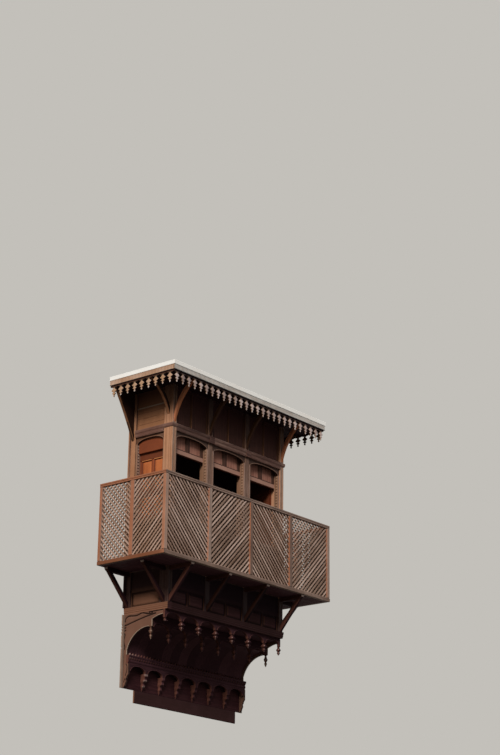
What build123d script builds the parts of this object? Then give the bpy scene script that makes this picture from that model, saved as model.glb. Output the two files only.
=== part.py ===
from build123d import *
import math
import os

# Projecting bay window of turned and carved timber with a lattice balcony, a flat canopy and a
# coved, arcaded base. Millimetres, +Z up. The wall face is the plane Y = 0 and the bay stands out
# towards -Y. The origin is on the back of the bearing beam, level with the balcony's underside.

# Bay
bay_half_width = 1090
bay_depth = 690
post_face_width = 75
corner_post_depth = 140
wall_post_depth = 85
mullion_spacing = 720
mullion_width = 85
mullion_depth = 135
mullion_setback = 15
post_foot_level = -430

# Beam on the wall, which carries the bay
beam_depth = 60
beam_drop = 150
beam_rise = 30
wall_head_height = 120
cover_strip_width = 36
cover_strip_thickness = 16

# Balcony
balcony_half_width = 1590
balcony_depth = 1060
balcony_height = 1000
rail_depth = 45
bottom_rail_height = 48
top_rail_height = 45
balcony_post_width = 56
wall_end_post_width = 40
floor_thickness = 25

# Lattice
lath_pitch = 100
lath_width = 62
lath_thickness = 12
lattice_setback = 12
smallest_offcut = 60

# Arms and struts under the balcony
arm_size = 50
arm_setback = 20
side_arm_setback = 110
lower_strut_width = 42
lower_strut_depth = 52
lower_strut_end_gap = 30

# Windows
sill_level = 570
sill_height = 60
sill_nosing = 25
sill_back = 116
dado_board_thickness = 28
jamb_width = 24
side_jamb_width = 22
jamb_thickness = 66
jamb_setback = 14
arch_spring_level = 1605
arch_crown_level = 1662
sash_thickness = 32
sash_gap = 0.3
raised_sash_foot = 1440
raised_sash_field = 190
sash_height = 800
side_sash_rail_levels = (950, 1395)
side_sash_rail_heights = (60, 95)
sash_stile = 62
sash_rail = 58
sash_muntin = 66
sash_panel_recess = 8

# Beam over the windows and frieze
architrave_foot = 1690
architrave_height = 90
architrave_depth = 67
architrave_projection = 15
architrave_lip_height = 20
architrave_hollow_height = 22
architrave_fascia_projection = 6
capital_height = 48
capital_projection = 14
frieze_thickness = 27
frieze_setback = 25
frieze_muntin = 34
frieze_rail_level = 2065
frieze_field_recess = 10

# Canopy
canopy_half_width = 1495
canopy_depth = 1060
soffit_level = 2275
fascia_height = 60
fascia_thickness = 30
cap_height = 55
cap_overhang = 4

# Canopy struts
strut_width = 40
strut_foot_gap = 15
side_strut_rise = 100
wall_strut_drop = 140
strut_foot_length = 90
strut_head_length = 62
strut_head_clearance = 20
strut_bow = 50
wall_bracket_bow = 12
bracket_web_thickness = 22
strut_facets = 6

# Hanging drops under the canopy
valance_thickness = 18
valance_setback = 14
valance_band = 24
valance_drop_pitch = 110
valance_drop_length = 150
valance_neck_width = 38
valance_neck_depth = 42
valance_lobe_width = 72
valance_lobe_depth = 72

# Base
base_cornice_height = 80
base_cornice_projection = 10
base_cornice_seat_margin = 2
base_lip_height = 22
base_hollow_height = 24
base_neck_projection = 3
base_bead_height = 18
dado_field_margin = 40
dado_panel_thickness = 28
dado_setback = 22
dado_rail_level = -250

# Arcades of the base
arcade_thickness = 30
arch_count = 7
arch_facet_angle = 12
pier_width = 52
outer_arcade_setback = 35
outer_arch_rise = 74
outer_spring_level = -610
inner_arcade_reach = 445
inner_arch_rise = 58
inner_spring_level = -695
soffit_board_level = -540
soffit_board_thickness = 20

# Carved drops of the arcades
drop_width = 84
drop_neck_width = 48
drop_waist_width = 44
drop_bud_width = 60
drop_tip_width = 12
outer_drop_length = 112
inner_drop_length = 150
corner_drop_scale = 0.72
corner_drop_projection = 10
broken_drop_length = 38

# Cove and side boards
cove_top_level = -632
cove_foot_level = -990
cove_foot_reach = 25
cove_thickness = 20
side_board_thickness = 26
side_eave_level = -562
side_arch_level = -604
side_arch_sag = 6
side_stem_width = 44
side_cove_level = -684
side_cove_foot_level = -930
side_cove_bow = 73

# Lower tier
lower_cornice_height = 100
lower_cornice_reach = 110
lower_fillet_height = 22
lower_hollow_height = 36
lower_hollow_depth = 20
lower_roll_height = 30
lower_roll_projection = 9
lower_tier_depth = 62
lower_tier_foot = -1375
lower_arch_rise = 66
lower_spring_level = -1175
console_width = 54
console_reach = 95
console_lobe_level = -1215
console_waist_level = -1290
console_waist_reach = 66
console_foot_reach = 24
upper_scallop_depth = 22
lower_scallop_depth = 13
back_board_thickness = 20
bearer_height = 150
bearer_thickness = 20
bearer_left = 890
bearer_right = 990

# Levels and places worked out from the sizes above
canopy_top = soffit_level + fascia_height
base_cornice_foot = post_foot_level - base_cornice_height
lower_cornice_foot = cove_foot_level - lower_cornice_height
post_inner = bay_half_width - post_face_width
post_back = bay_depth - corner_post_depth
mullion_front = bay_depth - mullion_setback
mullion_centre = mullion_spacing / 2
mullion_inner = mullion_centre - mullion_width / 2
mullion_outer = mullion_centre + mullion_width / 2
bay_edges = [(-post_inner, -mullion_outer), (-mullion_inner, mullion_inner), (mullion_outer, post_inner)]


def block(x0, x1, y0, y1, z0, z1):
    """A rectangular piece between two corners."""
    size = (abs(x1 - x0), abs(y1 - y0), abs(z1 - z0))
    centre = ((x0 + x1) / 2, (y0 + y1) / 2, (z0 + z1) / 2)
    return Pos(*centre) * Box(*size)


def drawn_across(edges, x0, x1):
    """A profile drawn in Y and Z, given length from x0 to x1."""
    face = Plane.YZ * make_face(edges)
    return Pos(x0, 0, 0) * extrude(face, amount=x1 - x0, dir=(1, 0, 0))


def drawn_along(edges, y_front, thickness):
    """An outline drawn in X and Z, given thickness from y_front back towards the wall."""
    face = Plane.XZ * make_face(edges)
    return Pos(0, y_front, 0) * extrude(face, amount=thickness, dir=(0, 1, 0))


def mirrored(solid):
    """The same piece on the other side of the bay."""
    return mirror(solid, about=Plane.YZ)


def write(name, solids):
    """Saves one named piece, or several like pieces that don't touch."""
    shape = solids[0] if len(solids) == 1 else Compound(children=solids)
    export_step(shape, f"parts/{name}.step")


def side_panel_place(solid):
    """Turns a piece drawn for the front so that it stands in the left side of the bay.

    Drawn X runs from the wall outwards there, and drawn Y = 0 becomes the side's outer face.
    """
    return Pos(-bay_half_width, 0, 0) * (Rot(0, 0, -90) * solid)


def band_round_bay(outline):
    """A moulded band carried round the three sides of the bay with mitred corners.

    The outline is drawn with the bay's face at Y = 0 and the outside towards -Y.
    """
    bands = []
    longest = bay_half_width * 2
    for turn, face, reach in ((0, bay_depth, bay_half_width), (-90, bay_half_width, bay_depth)):
        bar = Pos(0, -face, 0) * drawn_across(outline, -longest, longest)
        bands.append(Rot(0, 0, turn) * bar)
    front, left = bands
    right = mirrored(left)
    z0 = outline.bounding_box().min.Y
    z1 = outline.bounding_box().max.Y
    far = longest
    w = bay_half_width
    d = bay_depth
    front_wedge = Polyline((-w - far, -d - far, z0), (w + far, -d - far, z0), (0, -d + w, z0), close=True)
    left_wedge = Polyline((-w - far, -d - far, z0), (-w + d, 0, z0), (-w - far, 0, z0), close=True)
    front = front & extrude(make_face(front_wedge), amount=z1 - z0, dir=(0, 0, 1))
    left = left & extrude(make_face(left_wedge), amount=z1 - z0, dir=(0, 0, 1))
    right = mirrored(left)
    return front + left + right


def drop_side(length, scale=1):
    """One side of a carved drop: neck, wide lobe, waist, small bud and point, as (half width, depth)."""
    widths = (drop_neck_width, drop_width, drop_waist_width, drop_bud_width, drop_tip_width)
    depths = (0, 0.36, 0.56, 0.70, 1)
    return [(width * scale / 2, depth * length) for width, depth in zip(widths, depths)]


def carved_drop(x, y, top, length, scale=1):
    """A square carved drop, cut to the same outline on all four sides."""
    side = drop_side(length, scale)
    right = [(half, -depth) for half, depth in side]
    left = [(-half, -depth) for half, depth in reversed(side)]
    reach = drop_width * scale
    across = drawn_along(Polyline(*right, *left, close=True), -reach, 2 * reach)
    drop = across & (Rot(0, 0, 90) * across)
    return Pos(x, y, top) * drop


def arch_opening(half_span, rise):
    """A round arch in few facets, as the face to cut away, with the middle of its spring line at the origin."""
    radius = (half_span ** 2 + rise ** 2) / (2 * rise)
    return Pos(0, rise - radius) * RegularPolygon(radius, round(360 / arch_facet_angle))


def arcade_board(half_width, y_front, top, spring, rise):
    """A board with a row of round arches cut in its lower edge, and a half pier at each end."""
    pitch = 2 * half_width / arch_count
    arch = arch_opening((pitch - pier_width) / 2, rise)
    outline = Pos(0, (top + spring) / 2) * Rectangle(2 * half_width, top - spring)
    for index in range(arch_count):
        outline = outline - Pos(-half_width + (index + 0.5) * pitch, spring) * arch
    face = Plane.XZ * outline
    return Pos(0, y_front, 0) * extrude(face, amount=arcade_thickness, dir=(0, 1, 0))


# Posts and beams
left_wall_post = block(-bay_half_width, -post_inner, -wall_post_depth, 0, post_foot_level, soffit_level)
left_corner_post = block(-bay_half_width, -post_inner, -bay_depth, -post_back, post_foot_level, soffit_level)
strip_outer = -bay_half_width - cover_strip_width
for z0, z1 in ((post_foot_level, 0), (floor_thickness, soffit_level)):
    cover_strip = block(strip_outer, -bay_half_width, -cover_strip_thickness, 0, z0, z1)
    left_wall_post = left_wall_post + cover_strip
left_mullion = block(
    bay_edges[0][1], bay_edges[1][0], -mullion_front, -mullion_front + mullion_depth, post_foot_level, soffit_level
)
bearing_beam = block(-post_inner, post_inner, -beam_depth, 0, -beam_drop, beam_rise)
wall_head_beam = block(-post_inner, post_inner, -beam_depth, 0, soffit_level - wall_head_height, soffit_level)

# Capital blocks wrap the outer arris of each corner post beside the beam over the windows
capital_top = architrave_foot + architrave_height
outer_x = -bay_half_width - capital_projection
outer_y = -bay_depth - capital_projection
left_capital = block(outer_x, -post_inner, outer_y, -post_back, capital_top - capital_height, capital_top)
left_capital = left_capital - left_corner_post


def moulded_beam(x0, x1):
    """The beam over the windows, drawn with its outer plane at Y = 0: fascia, hollow and lip."""
    foot = architrave_foot
    top = capital_top
    fascia = -architrave_fascia_projection
    lip = -architrave_projection
    back = architrave_depth - architrave_projection
    hollow_foot = (fascia, top - architrave_lip_height - architrave_hollow_height)
    hollow_top = (lip, top - architrave_lip_height)
    edges = Polyline((back, foot), (fascia, foot), hollow_foot)
    edges = edges + SagittaArc(hollow_foot, hollow_top, -architrave_hollow_height / 8)
    edges = edges + Polyline(hollow_top, (lip, top), (back, top), (back, foot))
    return drawn_across(edges, x0, x1)


def front_place(solid):
    """Moves a piece drawn with its outer plane at Y = 0 to the front of the bay."""
    return Pos(0, -bay_depth, 0) * solid


def window_jambs(x0, x1, width):
    """The two jamb strips of one window."""
    z0 = sill_level + sill_height
    left = block(x0, x0 + width, jamb_setback, jamb_setback + jamb_thickness, z0, arch_spring_level)
    right = block(x1 - width, x1, jamb_setback, jamb_setback + jamb_thickness, z0, arch_spring_level)
    return [left, right]


def arch_head(x0, x1, width):
    """The head board of one window, with a low round arch between the jambs."""
    head = block(x0, x1, jamb_setback, jamb_setback + jamb_thickness, arch_spring_level, architrave_foot)
    opening = arch_opening((x1 - x0) / 2 - width, arch_crown_level - arch_spring_level)
    opening = Plane.XZ * (Pos((x0 + x1) / 2, arch_spring_level) * opening)
    return head - extrude(opening, amount=bay_depth / 2, dir=(0, 1, 0), both=True)


def sash_leaf(x0, x1, z0, z1, rows):
    """A sliding leaf: a board with sunk fields, two across, in rows given as (foot, top) levels."""
    y0 = jamb_setback + jamb_thickness + sash_gap
    leaf = block(x0, x1, y0, y0 + sash_thickness, z0, z1)
    centre = (x0 + x1) / 2
    for foot, top in rows:
        for left, right in ((x0 + sash_stile, centre - sash_muntin / 2), (centre + sash_muntin / 2, x1 - sash_stile)):
            leaf = leaf - block(left, right, y0, y0 + sash_panel_recess, foot, top)
    return leaf


def fielded_board(x0, x1, setback, thickness, z0, z1, margin, fields):
    """A fixed board with sunk fields, side by side, each margin apart and clear of the edges."""
    board = block(x0, x1, setback, setback + thickness, z0, z1)
    pitch = (x1 - x0 - margin) / fields
    for index in range(fields):
        left = x0 + margin + index * pitch
        field = block(left, left + pitch - margin, setback, setback + frieze_field_recess, z0 + margin, z1 - margin)
        board = board - field
    return board


# Pieces of each window bay, drawn once and set in the front and in both sides
jambs = []
heads = []
sills = []
window_dado = []
dado_panels = []
frieze = []
side_edges = (wall_post_depth, post_back)
places = [(x0, x1, jamb_width, False) for x0, x1 in bay_edges]
places.append((side_edges[0], side_edges[1], side_jamb_width, True))
for x0, x1, width, is_side in places:
    fields = 1 if is_side else 2
    row = [
        (jambs, window_jambs(x0, x1, width)),
        (heads, [arch_head(x0, x1, width)]),
        (sills, [block(x0, x1, -sill_nosing + mullion_setback, sill_back, sill_level, sill_level + sill_height)]),
        (window_dado, [fielded_board(x0, x1, dado_setback, dado_board_thickness, floor_thickness, sill_level,
                                     sash_stile, fields)]),
        (dado_panels, [fielded_board(x0, x1, dado_setback, dado_panel_thickness, post_foot_level,
                                     dado_rail_level, dado_field_margin, fields)
                       + block(x0, x1, dado_setback, dado_setback + dado_panel_thickness, dado_rail_level, 0)]),
        (frieze, [fielded_board(x0, x1, frieze_setback, frieze_thickness, capital_top,
                                frieze_rail_level if is_side else soffit_level, frieze_muntin, 2)]),
    ]
    if is_side:
        upper = block(x0, x1, frieze_setback, frieze_setback + frieze_thickness, frieze_rail_level, soffit_level)
        row[-1] = (frieze, [row[-1][1][0] + upper])
    for store, solids in row:
        for solid in solids:
            if is_side:
                placed = side_panel_place(solid)
                store.append(placed)
                store.append(mirrored(placed))
            else:
                store.append(front_place(solid))

front_beam = front_place(moulded_beam(-post_inner, post_inner))
front_beam = front_beam - left_mullion - mirrored(left_mullion)
left_beam = side_panel_place(moulded_beam(wall_post_depth, post_back))

# Sashes: the three front ones are raised behind the frieze, the side ones are shut
front_sashes = []
for x0, x1 in bay_edges:
    foot_field = raised_sash_foot + sash_rail
    leaf = sash_leaf(x0 + sash_gap, x1 - sash_gap, raised_sash_foot, raised_sash_foot + sash_height,
                     [(foot_field, foot_field + raised_sash_field)])
    front_sashes.append(front_place(leaf))
leaf_foot = sill_level + sill_height + sash_gap
field_feet = [leaf_foot + sash_rail]
for level, height in zip(side_sash_rail_levels, side_sash_rail_heights):
    field_feet.append(level + height)
field_tops = [*side_sash_rail_levels, architrave_foot - sash_rail]
side_leaf = sash_leaf(side_edges[0] + sash_gap, side_edges[1] - sash_gap, leaf_foot, architrave_foot - sash_gap,
                      list(zip(field_feet, field_tops)))
side_sash = side_panel_place(side_leaf)

# Floors
balcony_inner = balcony_half_width - rail_depth
balcony_back = balcony_depth - rail_depth
balcony_floor = block(-balcony_inner, balcony_inner, -balcony_back, 0, 0, floor_thickness)
balcony_floor = balcony_floor - block(-bay_half_width, bay_half_width, -bay_depth, 0, 0, floor_thickness)
floor_edge = bay_depth - dado_setback
cabin_floor = block(-post_inner, post_inner, -floor_edge, -beam_depth, 0, floor_thickness)
side_floor = block(-bay_half_width + dado_setback, -post_inner, -post_back, -wall_post_depth, 0, floor_thickness)
cabin_floor = cabin_floor + side_floor + mirrored(side_floor)
cabin_floor = cabin_floor - left_mullion - mirrored(left_mullion) - left_corner_post - mirrored(left_corner_post)


def three_sided_rail(z0, z1):
    """A rail round the front and both sides of the balcony."""
    outer = block(-balcony_half_width, balcony_half_width, -balcony_depth, 0, z0, z1)
    return outer - block(-balcony_inner, balcony_inner, -balcony_back, 0, z0, z1)


bottom_rail = three_sided_rail(0, bottom_rail_height)
top_rail = three_sided_rail(balcony_height - top_rail_height, balcony_height)

# Balcony posts stand between the rails
lattice_foot = bottom_rail_height
lattice_head = balcony_height - top_rail_height
front_pitch = (2 * balcony_half_width - balcony_post_width) / 4
posts = []
for index in range(5):
    x = -balcony_half_width + balcony_post_width / 2 + index * front_pitch
    posts.append(block(x - balcony_post_width / 2, x + balcony_post_width / 2, -balcony_depth, -balcony_back,
                       lattice_foot, lattice_head))
side_run = balcony_back - wall_end_post_width
side_post_y = -(wall_end_post_width + side_run / 2)
for y0, y1 in ((-wall_end_post_width, 0),
               (side_post_y - balcony_post_width / 2, side_post_y + balcony_post_width / 2)):
    post = block(-balcony_half_width, -balcony_inner, y0, y1, lattice_foot, lattice_head)
    posts.append(post)
    posts.append(mirrored(post))


def lath_layer(width, height, lean, y_front):
    """One layer of laths at 45 degrees, clipped to the panel, drawn from X = 0 and Z = 0."""
    reach = width + height
    laths = []
    count = int(reach / lath_pitch) + 1
    for index in range(-count, count + 1):
        lath = Box(reach * 2, lath_thickness, lath_width)
        lath = Rot(0, -45 * lean, 0) * (Pos(0, 0, index * lath_pitch) * lath)
        laths.append(Pos(width / 2, y_front + lath_thickness / 2, height / 2) * lath)
    panel = Pos(width / 2, y_front + lath_thickness / 2, height / 2) * Box(width, lath_thickness, height)
    pieces = []
    for lath in laths:
        clipped = lath & panel
        if clipped is None:
            continue
        for solid in clipped.solids():
            if solid.volume > lath_width * lath_thickness * smallest_offcut:
                pieces.append(solid)
    return pieces


def lattice_panel(width):
    """Two crossing layers of laths fused where they cross, the outer one leaning to the right."""
    height = lattice_head - lattice_foot
    outer = lath_layer(width, height, 1, lattice_setback)
    inner = lath_layer(width, height, -1, lattice_setback + lath_thickness)
    fused = outer[0].fuse(*outer[1:], *inner)
    return fused


front_panel_width = front_pitch - balcony_post_width
side_panel_width = (side_run - balcony_post_width) / 2
front_panel = lattice_panel(front_panel_width)
side_panel = lattice_panel(side_panel_width)


def flipped(panel, width):
    """The same panel with its outer laths leaning the other way."""
    return Pos(width, 0, 0) * mirror(panel, about=Plane.YZ)


# Lattice panels: the outer laths lean one way in one panel and the other way in the next
front_lattices = []
for index in range(4):
    x = -balcony_half_width + balcony_post_width + index * front_pitch
    panel = front_panel if index % 2 else flipped(front_panel, front_panel_width)
    front_lattices.append(Pos(x, -balcony_depth, lattice_foot) * panel)
left_lattices = []
for index in range(2):
    start = wall_end_post_width + index * (side_panel_width + balcony_post_width)
    panel = side_panel if index % 2 else flipped(side_panel, side_panel_width)
    panel = Rot(0, 0, -90) * (Pos(start, 0, lattice_foot) * panel)
    left_lattices.append(Pos(-balcony_half_width, 0, 0) * panel)


def cantilever_arm(length):
    """A floor arm with a rounded nose, drawn outwards along X from X = 0, top at Z = 0."""
    shoulder = length - arm_size
    edges = Polyline((shoulder, -arm_size), (0, -arm_size), (0, 0), (length, 0))
    edges = edges + RadiusArc((length, 0), (shoulder, -arm_size), arm_size)
    return drawn_along(edges, -arm_size / 2, arm_size)


def lower_strut(reach):
    """A straight strut from the post up to the underside of an arm, drawn outwards along X."""
    rise = -arm_size - post_foot_level
    length = math.hypot(reach, rise)
    upright_cut = lower_strut_depth * length / reach
    level_cut = lower_strut_depth * length / rise
    edges = Polyline(
        (0, post_foot_level),
        (0, post_foot_level + upright_cut),
        (reach - level_cut, -arm_size),
        (reach, -arm_size),
        close=True,
    )
    return drawn_along(edges, -lower_strut_width / 2, lower_strut_width)


def bowed(start, end, bow):
    """Points along a shallow curve from start to end, bowed out to the left of that direction."""
    run = end[0] - start[0]
    rise = end[1] - start[1]
    points = []
    for step in range(strut_facets + 1):
        part = step / strut_facets
        out = 4 * bow * part * (1 - part) / math.hypot(run, rise)
        points.append((start[0] + part * run - out * rise, start[1] + part * rise + out * run))
    return points


def canopy_strut(reach, foot, bow):
    """A slender strut that leaves the post almost upright and curves out to the soffit."""
    outer_edge = bowed((0, foot), (reach, soffit_level), bow)
    inner_edge = bowed((0, foot + strut_foot_length), (reach - strut_head_length, soffit_level), bow)
    edges = Polyline(*outer_edge, *reversed(inner_edge), close=True)
    return drawn_along(edges, -strut_width / 2, strut_width)


def wall_bracket(reach, foot):
    """The strut beside the wall, nearly straight, with a thin web that fills the corner behind it."""
    rim = canopy_strut(reach, foot, wall_bracket_bow)
    corner = [(0, soffit_level), *bowed((0, foot), (reach, soffit_level), wall_bracket_bow)]
    web = drawn_along(Polyline(*corner, close=True), -bracket_web_thickness / 2, bracket_web_thickness)
    return rim + web


# Arms and struts at each post: four on the front, and at the corner and the wall on each side
strut_foot = capital_top + strut_foot_gap
front_room = canopy_depth - valance_setback - valance_thickness - strut_head_clearance
side_room = canopy_half_width - valance_setback - valance_thickness - strut_head_clearance - bay_half_width
side_arm_length = balcony_half_width - side_arm_setback - bay_half_width
arms = []
lower_struts = []
canopy_struts = []
for x, face in ((bay_half_width - post_face_width / 2, bay_depth), (mullion_centre, mullion_front)):
    arm_length = balcony_depth - arm_setback - face
    place = Pos(-x, -face, 0) * Rot(0, 0, -90)
    arms.append(place * cantilever_arm(arm_length))
    lower_struts.append(place * lower_strut(arm_length - lower_strut_end_gap))
    canopy_struts.append(place * canopy_strut(front_room - face, strut_foot, strut_bow))
side_stations = (
    (bay_depth - corner_post_depth / 2, canopy_strut(side_room, strut_foot + side_strut_rise, strut_bow)),
    (wall_post_depth / 2, wall_bracket(side_room, strut_foot - wall_strut_drop)),
)
for distance, side_strut in side_stations:
    place = Pos(-bay_half_width, -distance, 0) * Rot(0, 0, 180)
    arms.append(place * cantilever_arm(side_arm_length))
    lower_struts.append(place * lower_strut(side_arm_length - lower_strut_end_gap))
    canopy_struts.append(place * side_strut)

for store in (arms, lower_struts, canopy_struts):
    store.extend([mirrored(solid) for solid in store])

# Canopy
inner_half = canopy_half_width - fascia_thickness
inner_depth = canopy_depth - fascia_thickness
canopy_soffit = block(-inner_half, inner_half, -inner_depth, 0, soffit_level, soffit_level + floor_thickness)
canopy_fascia = block(-canopy_half_width, canopy_half_width, -canopy_depth, 0, soffit_level, canopy_top)
canopy_fascia = canopy_fascia - block(-inner_half, inner_half, -inner_depth, 0, soffit_level, canopy_top)
cap_half = canopy_half_width + cap_overhang
canopy_cap = block(-cap_half, cap_half, -canopy_depth - cap_overhang, 0, canopy_top, canopy_top + cap_height)


def hanging_drops(length):
    """A board cut into a row of barbed drops, drawn along X from X = 0 and hung from Z = 0."""
    count = round(length / valance_drop_pitch)
    pitch = length / count
    side = [
        (valance_neck_width / 2, -valance_neck_depth),
        (valance_lobe_width / 2, -valance_lobe_depth),
    ]
    points = [(0, 0), (0, -valance_band)]
    for index in range(count):
        centre = (index + 0.5) * pitch
        points.extend((centre - half, z) for half, z in side)
        points.append((centre, -valance_drop_length))
        points.extend((centre + half, z) for half, z in reversed(side))
        points.append(((index + 1) * pitch, -valance_band))
    points.append((length, 0))
    return drawn_along(Polyline(*points, close=True), 0, valance_thickness)


valance_half = canopy_half_width - valance_setback
valance_depth = canopy_depth - valance_setback
front_valance = Pos(-valance_half, -valance_depth, soffit_level) * hanging_drops(2 * valance_half)
side_valance = Rot(0, 0, -90) * hanging_drops(valance_depth - valance_thickness)
left_valance = Pos(-valance_half, 0, soffit_level) * side_valance

# Base cornice, on which the posts stand: lip, hollow, neck and a slope back to the bay's face
cornice_top = post_foot_level
cornice_back = post_face_width + base_cornice_seat_margin
lip_foot = (-base_cornice_projection, cornice_top - base_lip_height)
neck_top = (-base_neck_projection, cornice_top - base_lip_height - base_hollow_height)
neck_foot = (-base_neck_projection, neck_top[1] - base_bead_height)
cornice_outline = Polyline((cornice_back, cornice_top), (-base_cornice_projection, cornice_top), lip_foot)
cornice_outline = cornice_outline + SagittaArc(lip_foot, neck_top, base_hollow_height / 8)
cornice_outline = cornice_outline + Polyline(
    neck_top,
    neck_foot,
    (0, base_cornice_foot),
    (cornice_back, base_cornice_foot),
    (cornice_back, cornice_top),
)
base_cornice = band_round_bay(cornice_outline)

# Outer arcade with its carved drops; the left corner drop is broken off short, as on the real one
outer_front = bay_depth - outer_arcade_setback
outer_back = outer_front - arcade_thickness
outer_middle = (outer_front + outer_back) / 2
outer_arcade = arcade_board(bay_half_width, -outer_front, base_cornice_foot, outer_spring_level, outer_arch_rise)
outer_pitch = 2 * bay_half_width / arch_count
for index in range(1, arch_count):
    x = -bay_half_width + index * outer_pitch
    outer_arcade = outer_arcade + carved_drop(x, -outer_middle, outer_spring_level, outer_drop_length)
corner_drop_x = bay_half_width + corner_drop_projection - drop_width * corner_drop_scale / 2
for x, length in ((-corner_drop_x, broken_drop_length), (corner_drop_x, outer_drop_length)):
    corner_drop = carved_drop(x, -outer_middle, outer_spring_level, length, corner_drop_scale)
    outer_arcade = outer_arcade + corner_drop

# Inner arcade between the side boards, and the board that closes the space between the two
side_board_inner = bay_half_width - side_board_thickness
inner_back = inner_arcade_reach - arcade_thickness
inner_middle = (inner_arcade_reach + inner_back) / 2
inner_arcade = arcade_board(side_board_inner, -inner_arcade_reach, soffit_board_level, inner_spring_level,
                            inner_arch_rise)
inner_pitch = 2 * side_board_inner / arch_count
for index in range(1, arch_count):
    x = -side_board_inner + index * inner_pitch
    inner_arcade = inner_arcade + carved_drop(x, -inner_middle, inner_spring_level, inner_drop_length)
base_soffit = block(-side_board_inner, side_board_inner, -outer_back, -inner_back, soffit_board_level,
                    soffit_board_level + soffit_board_thickness)

# Cove: a quarter of an ellipse from the inner arcade down to the lower cornice
cove_out = inner_back - cove_foot_reach
cove_rise = cove_top_level - cove_foot_level
cove_ring = Ellipse(cove_out, cove_rise) - Ellipse(cove_out - cove_thickness, cove_rise - cove_thickness)
cove_quarter = cove_ring & (Pos(cove_out / 2, cove_rise / 2) * Rectangle(cove_out, cove_rise))
cove_panel = extrude(Plane.YZ * cove_quarter, amount=2 * side_board_inner, dir=(1, 0, 0))
cove_panel = Pos(-side_board_inner, -inner_back, cove_foot_level) * cove_panel


def console_front():
    """The scalloped front of a console, from the foot of the arcade down and back to the wall."""
    lobe = (-console_reach, console_lobe_level)
    waist = (-console_waist_reach, console_waist_level)
    foot = (-console_foot_reach, lower_tier_foot)
    return SagittaArc(lobe, waist, upper_scallop_depth) + SagittaArc(waist, foot, lower_scallop_depth)


# Side boards: a low arch, a stem with a carved drop, the cove's curve and a console foot
stem_out = inner_middle + side_stem_width / 2
stem_in = inner_middle - side_stem_width / 2
drop_half = drop_side(inner_drop_length)
outer_side = [(-inner_middle - half, inner_spring_level - depth) for half, depth in drop_half]
inner_side = [(-inner_middle + half, inner_spring_level - depth) for half, depth in reversed(drop_half)]
eave = (-outer_back, side_eave_level)
stem_top = (-stem_out, side_arch_level)
cove_start = (-stem_in, side_cove_level)
cove_end = (-lower_tier_depth, side_cove_foot_level)
side_outline = Polyline((0, lower_tier_foot), (0, base_cornice_foot), (-outer_back, base_cornice_foot), eave)
side_outline = side_outline + SagittaArc(eave, stem_top, -side_arch_sag)
side_outline = side_outline + Polyline(stem_top, *outer_side, *inner_side, cove_start)
side_outline = side_outline + SagittaArc(cove_start, cove_end, side_cove_bow)
side_outline = side_outline + Polyline(
    cove_end,
    (-lower_tier_depth, lower_cornice_foot),
    (-console_reach, lower_cornice_foot),
    (-console_reach, console_lobe_level),
)
side_outline = side_outline + console_front()
side_outline = side_outline + Line((-console_foot_reach, lower_tier_foot), (0, lower_tier_foot))
left_side_board = drawn_across(side_outline, -bay_half_width, -side_board_inner)
left_side_board = left_side_board + block(strip_outer, -bay_half_width, -cover_strip_thickness, 0, lower_tier_foot,
                                          base_cornice_foot)

# Lower cornice: fillet, hollow and roll
fillet_foot = (-lower_cornice_reach, cove_foot_level - lower_fillet_height)
hollow_foot = (-lower_cornice_reach + lower_hollow_depth, fillet_foot[1] - lower_hollow_height)
roll_foot = (-lower_cornice_reach + lower_hollow_depth, hollow_foot[1] - lower_roll_height)
lower_outline = Polyline(
    (-lower_tier_depth, lower_cornice_foot),
    (-lower_tier_depth, cove_foot_level),
    (-lower_cornice_reach, cove_foot_level),
    fillet_foot,
)
lower_outline = lower_outline + SagittaArc(fillet_foot, hollow_foot, lower_hollow_height / 6)
lower_outline = lower_outline + SagittaArc(hollow_foot, roll_foot, -lower_roll_projection)
lower_outline = lower_outline + Polyline(
    roll_foot,
    (roll_foot[0], lower_cornice_foot),
    (-lower_tier_depth, lower_cornice_foot),
)
lower_cornice = drawn_across(lower_outline, -bay_half_width, bay_half_width)
lower_cornice = lower_cornice + block(-side_board_inner, side_board_inner, -lower_tier_depth,
                                      -back_board_thickness, lower_cornice_foot, cove_foot_level)

# Lower arcade with consoles that taper back to the wall, the board behind it and the bearer
lower_arcade = arcade_board(side_board_inner, -console_reach, lower_cornice_foot, lower_spring_level, lower_arch_rise)
console_outline = Polyline(
    (-console_foot_reach, lower_tier_foot),
    (-back_board_thickness, lower_tier_foot),
    (-back_board_thickness, lower_spring_level),
    (-console_reach, lower_spring_level),
    (-console_reach, console_lobe_level),
)
console = drawn_across(console_outline + console_front(), -console_width / 2, console_width / 2)
for index in range(1, arch_count):
    lower_arcade = lower_arcade + Pos(-side_board_inner + index * inner_pitch, 0, 0) * console
lower_back_board = block(-side_board_inner, side_board_inner, -back_board_thickness, 0, lower_tier_foot,
                         cove_foot_level)
bearer_board = block(-bearer_left, bearer_right, -bearer_thickness, 0, lower_tier_foot - bearer_height,
                     lower_tier_foot)

# One file for each named piece
os.makedirs("parts", exist_ok=True)
write("wall_beams", [bearing_beam, wall_head_beam])
write("wall_posts", [left_wall_post, mirrored(left_wall_post)])
write("corner_posts", [left_corner_post, mirrored(left_corner_post)])
write("post_capitals", [left_capital, mirrored(left_capital)])
write("mullions", [left_mullion, mirrored(left_mullion)])
write("window_beam", [front_beam, left_beam, mirrored(left_beam)])
write("frieze_panels", frieze)
write("arch_heads", heads)
write("window_jambs", jambs)
write("window_sills", sills)
write("window_dado", window_dado)
write("front_sashes", front_sashes)
write("side_sashes", [side_sash, mirrored(side_sash)])
write("cabin_floor", [cabin_floor])
write("balcony_floor", [balcony_floor])
write("balcony_arms", arms)
write("balcony_struts", lower_struts)
write("balcony_bottom_rail", [bottom_rail])
write("balcony_top_rail", [top_rail])
write("balcony_posts", posts)
for index, lattice in enumerate(front_lattices):
    write(f"lattice_front_{index + 1}", [lattice])
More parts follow.
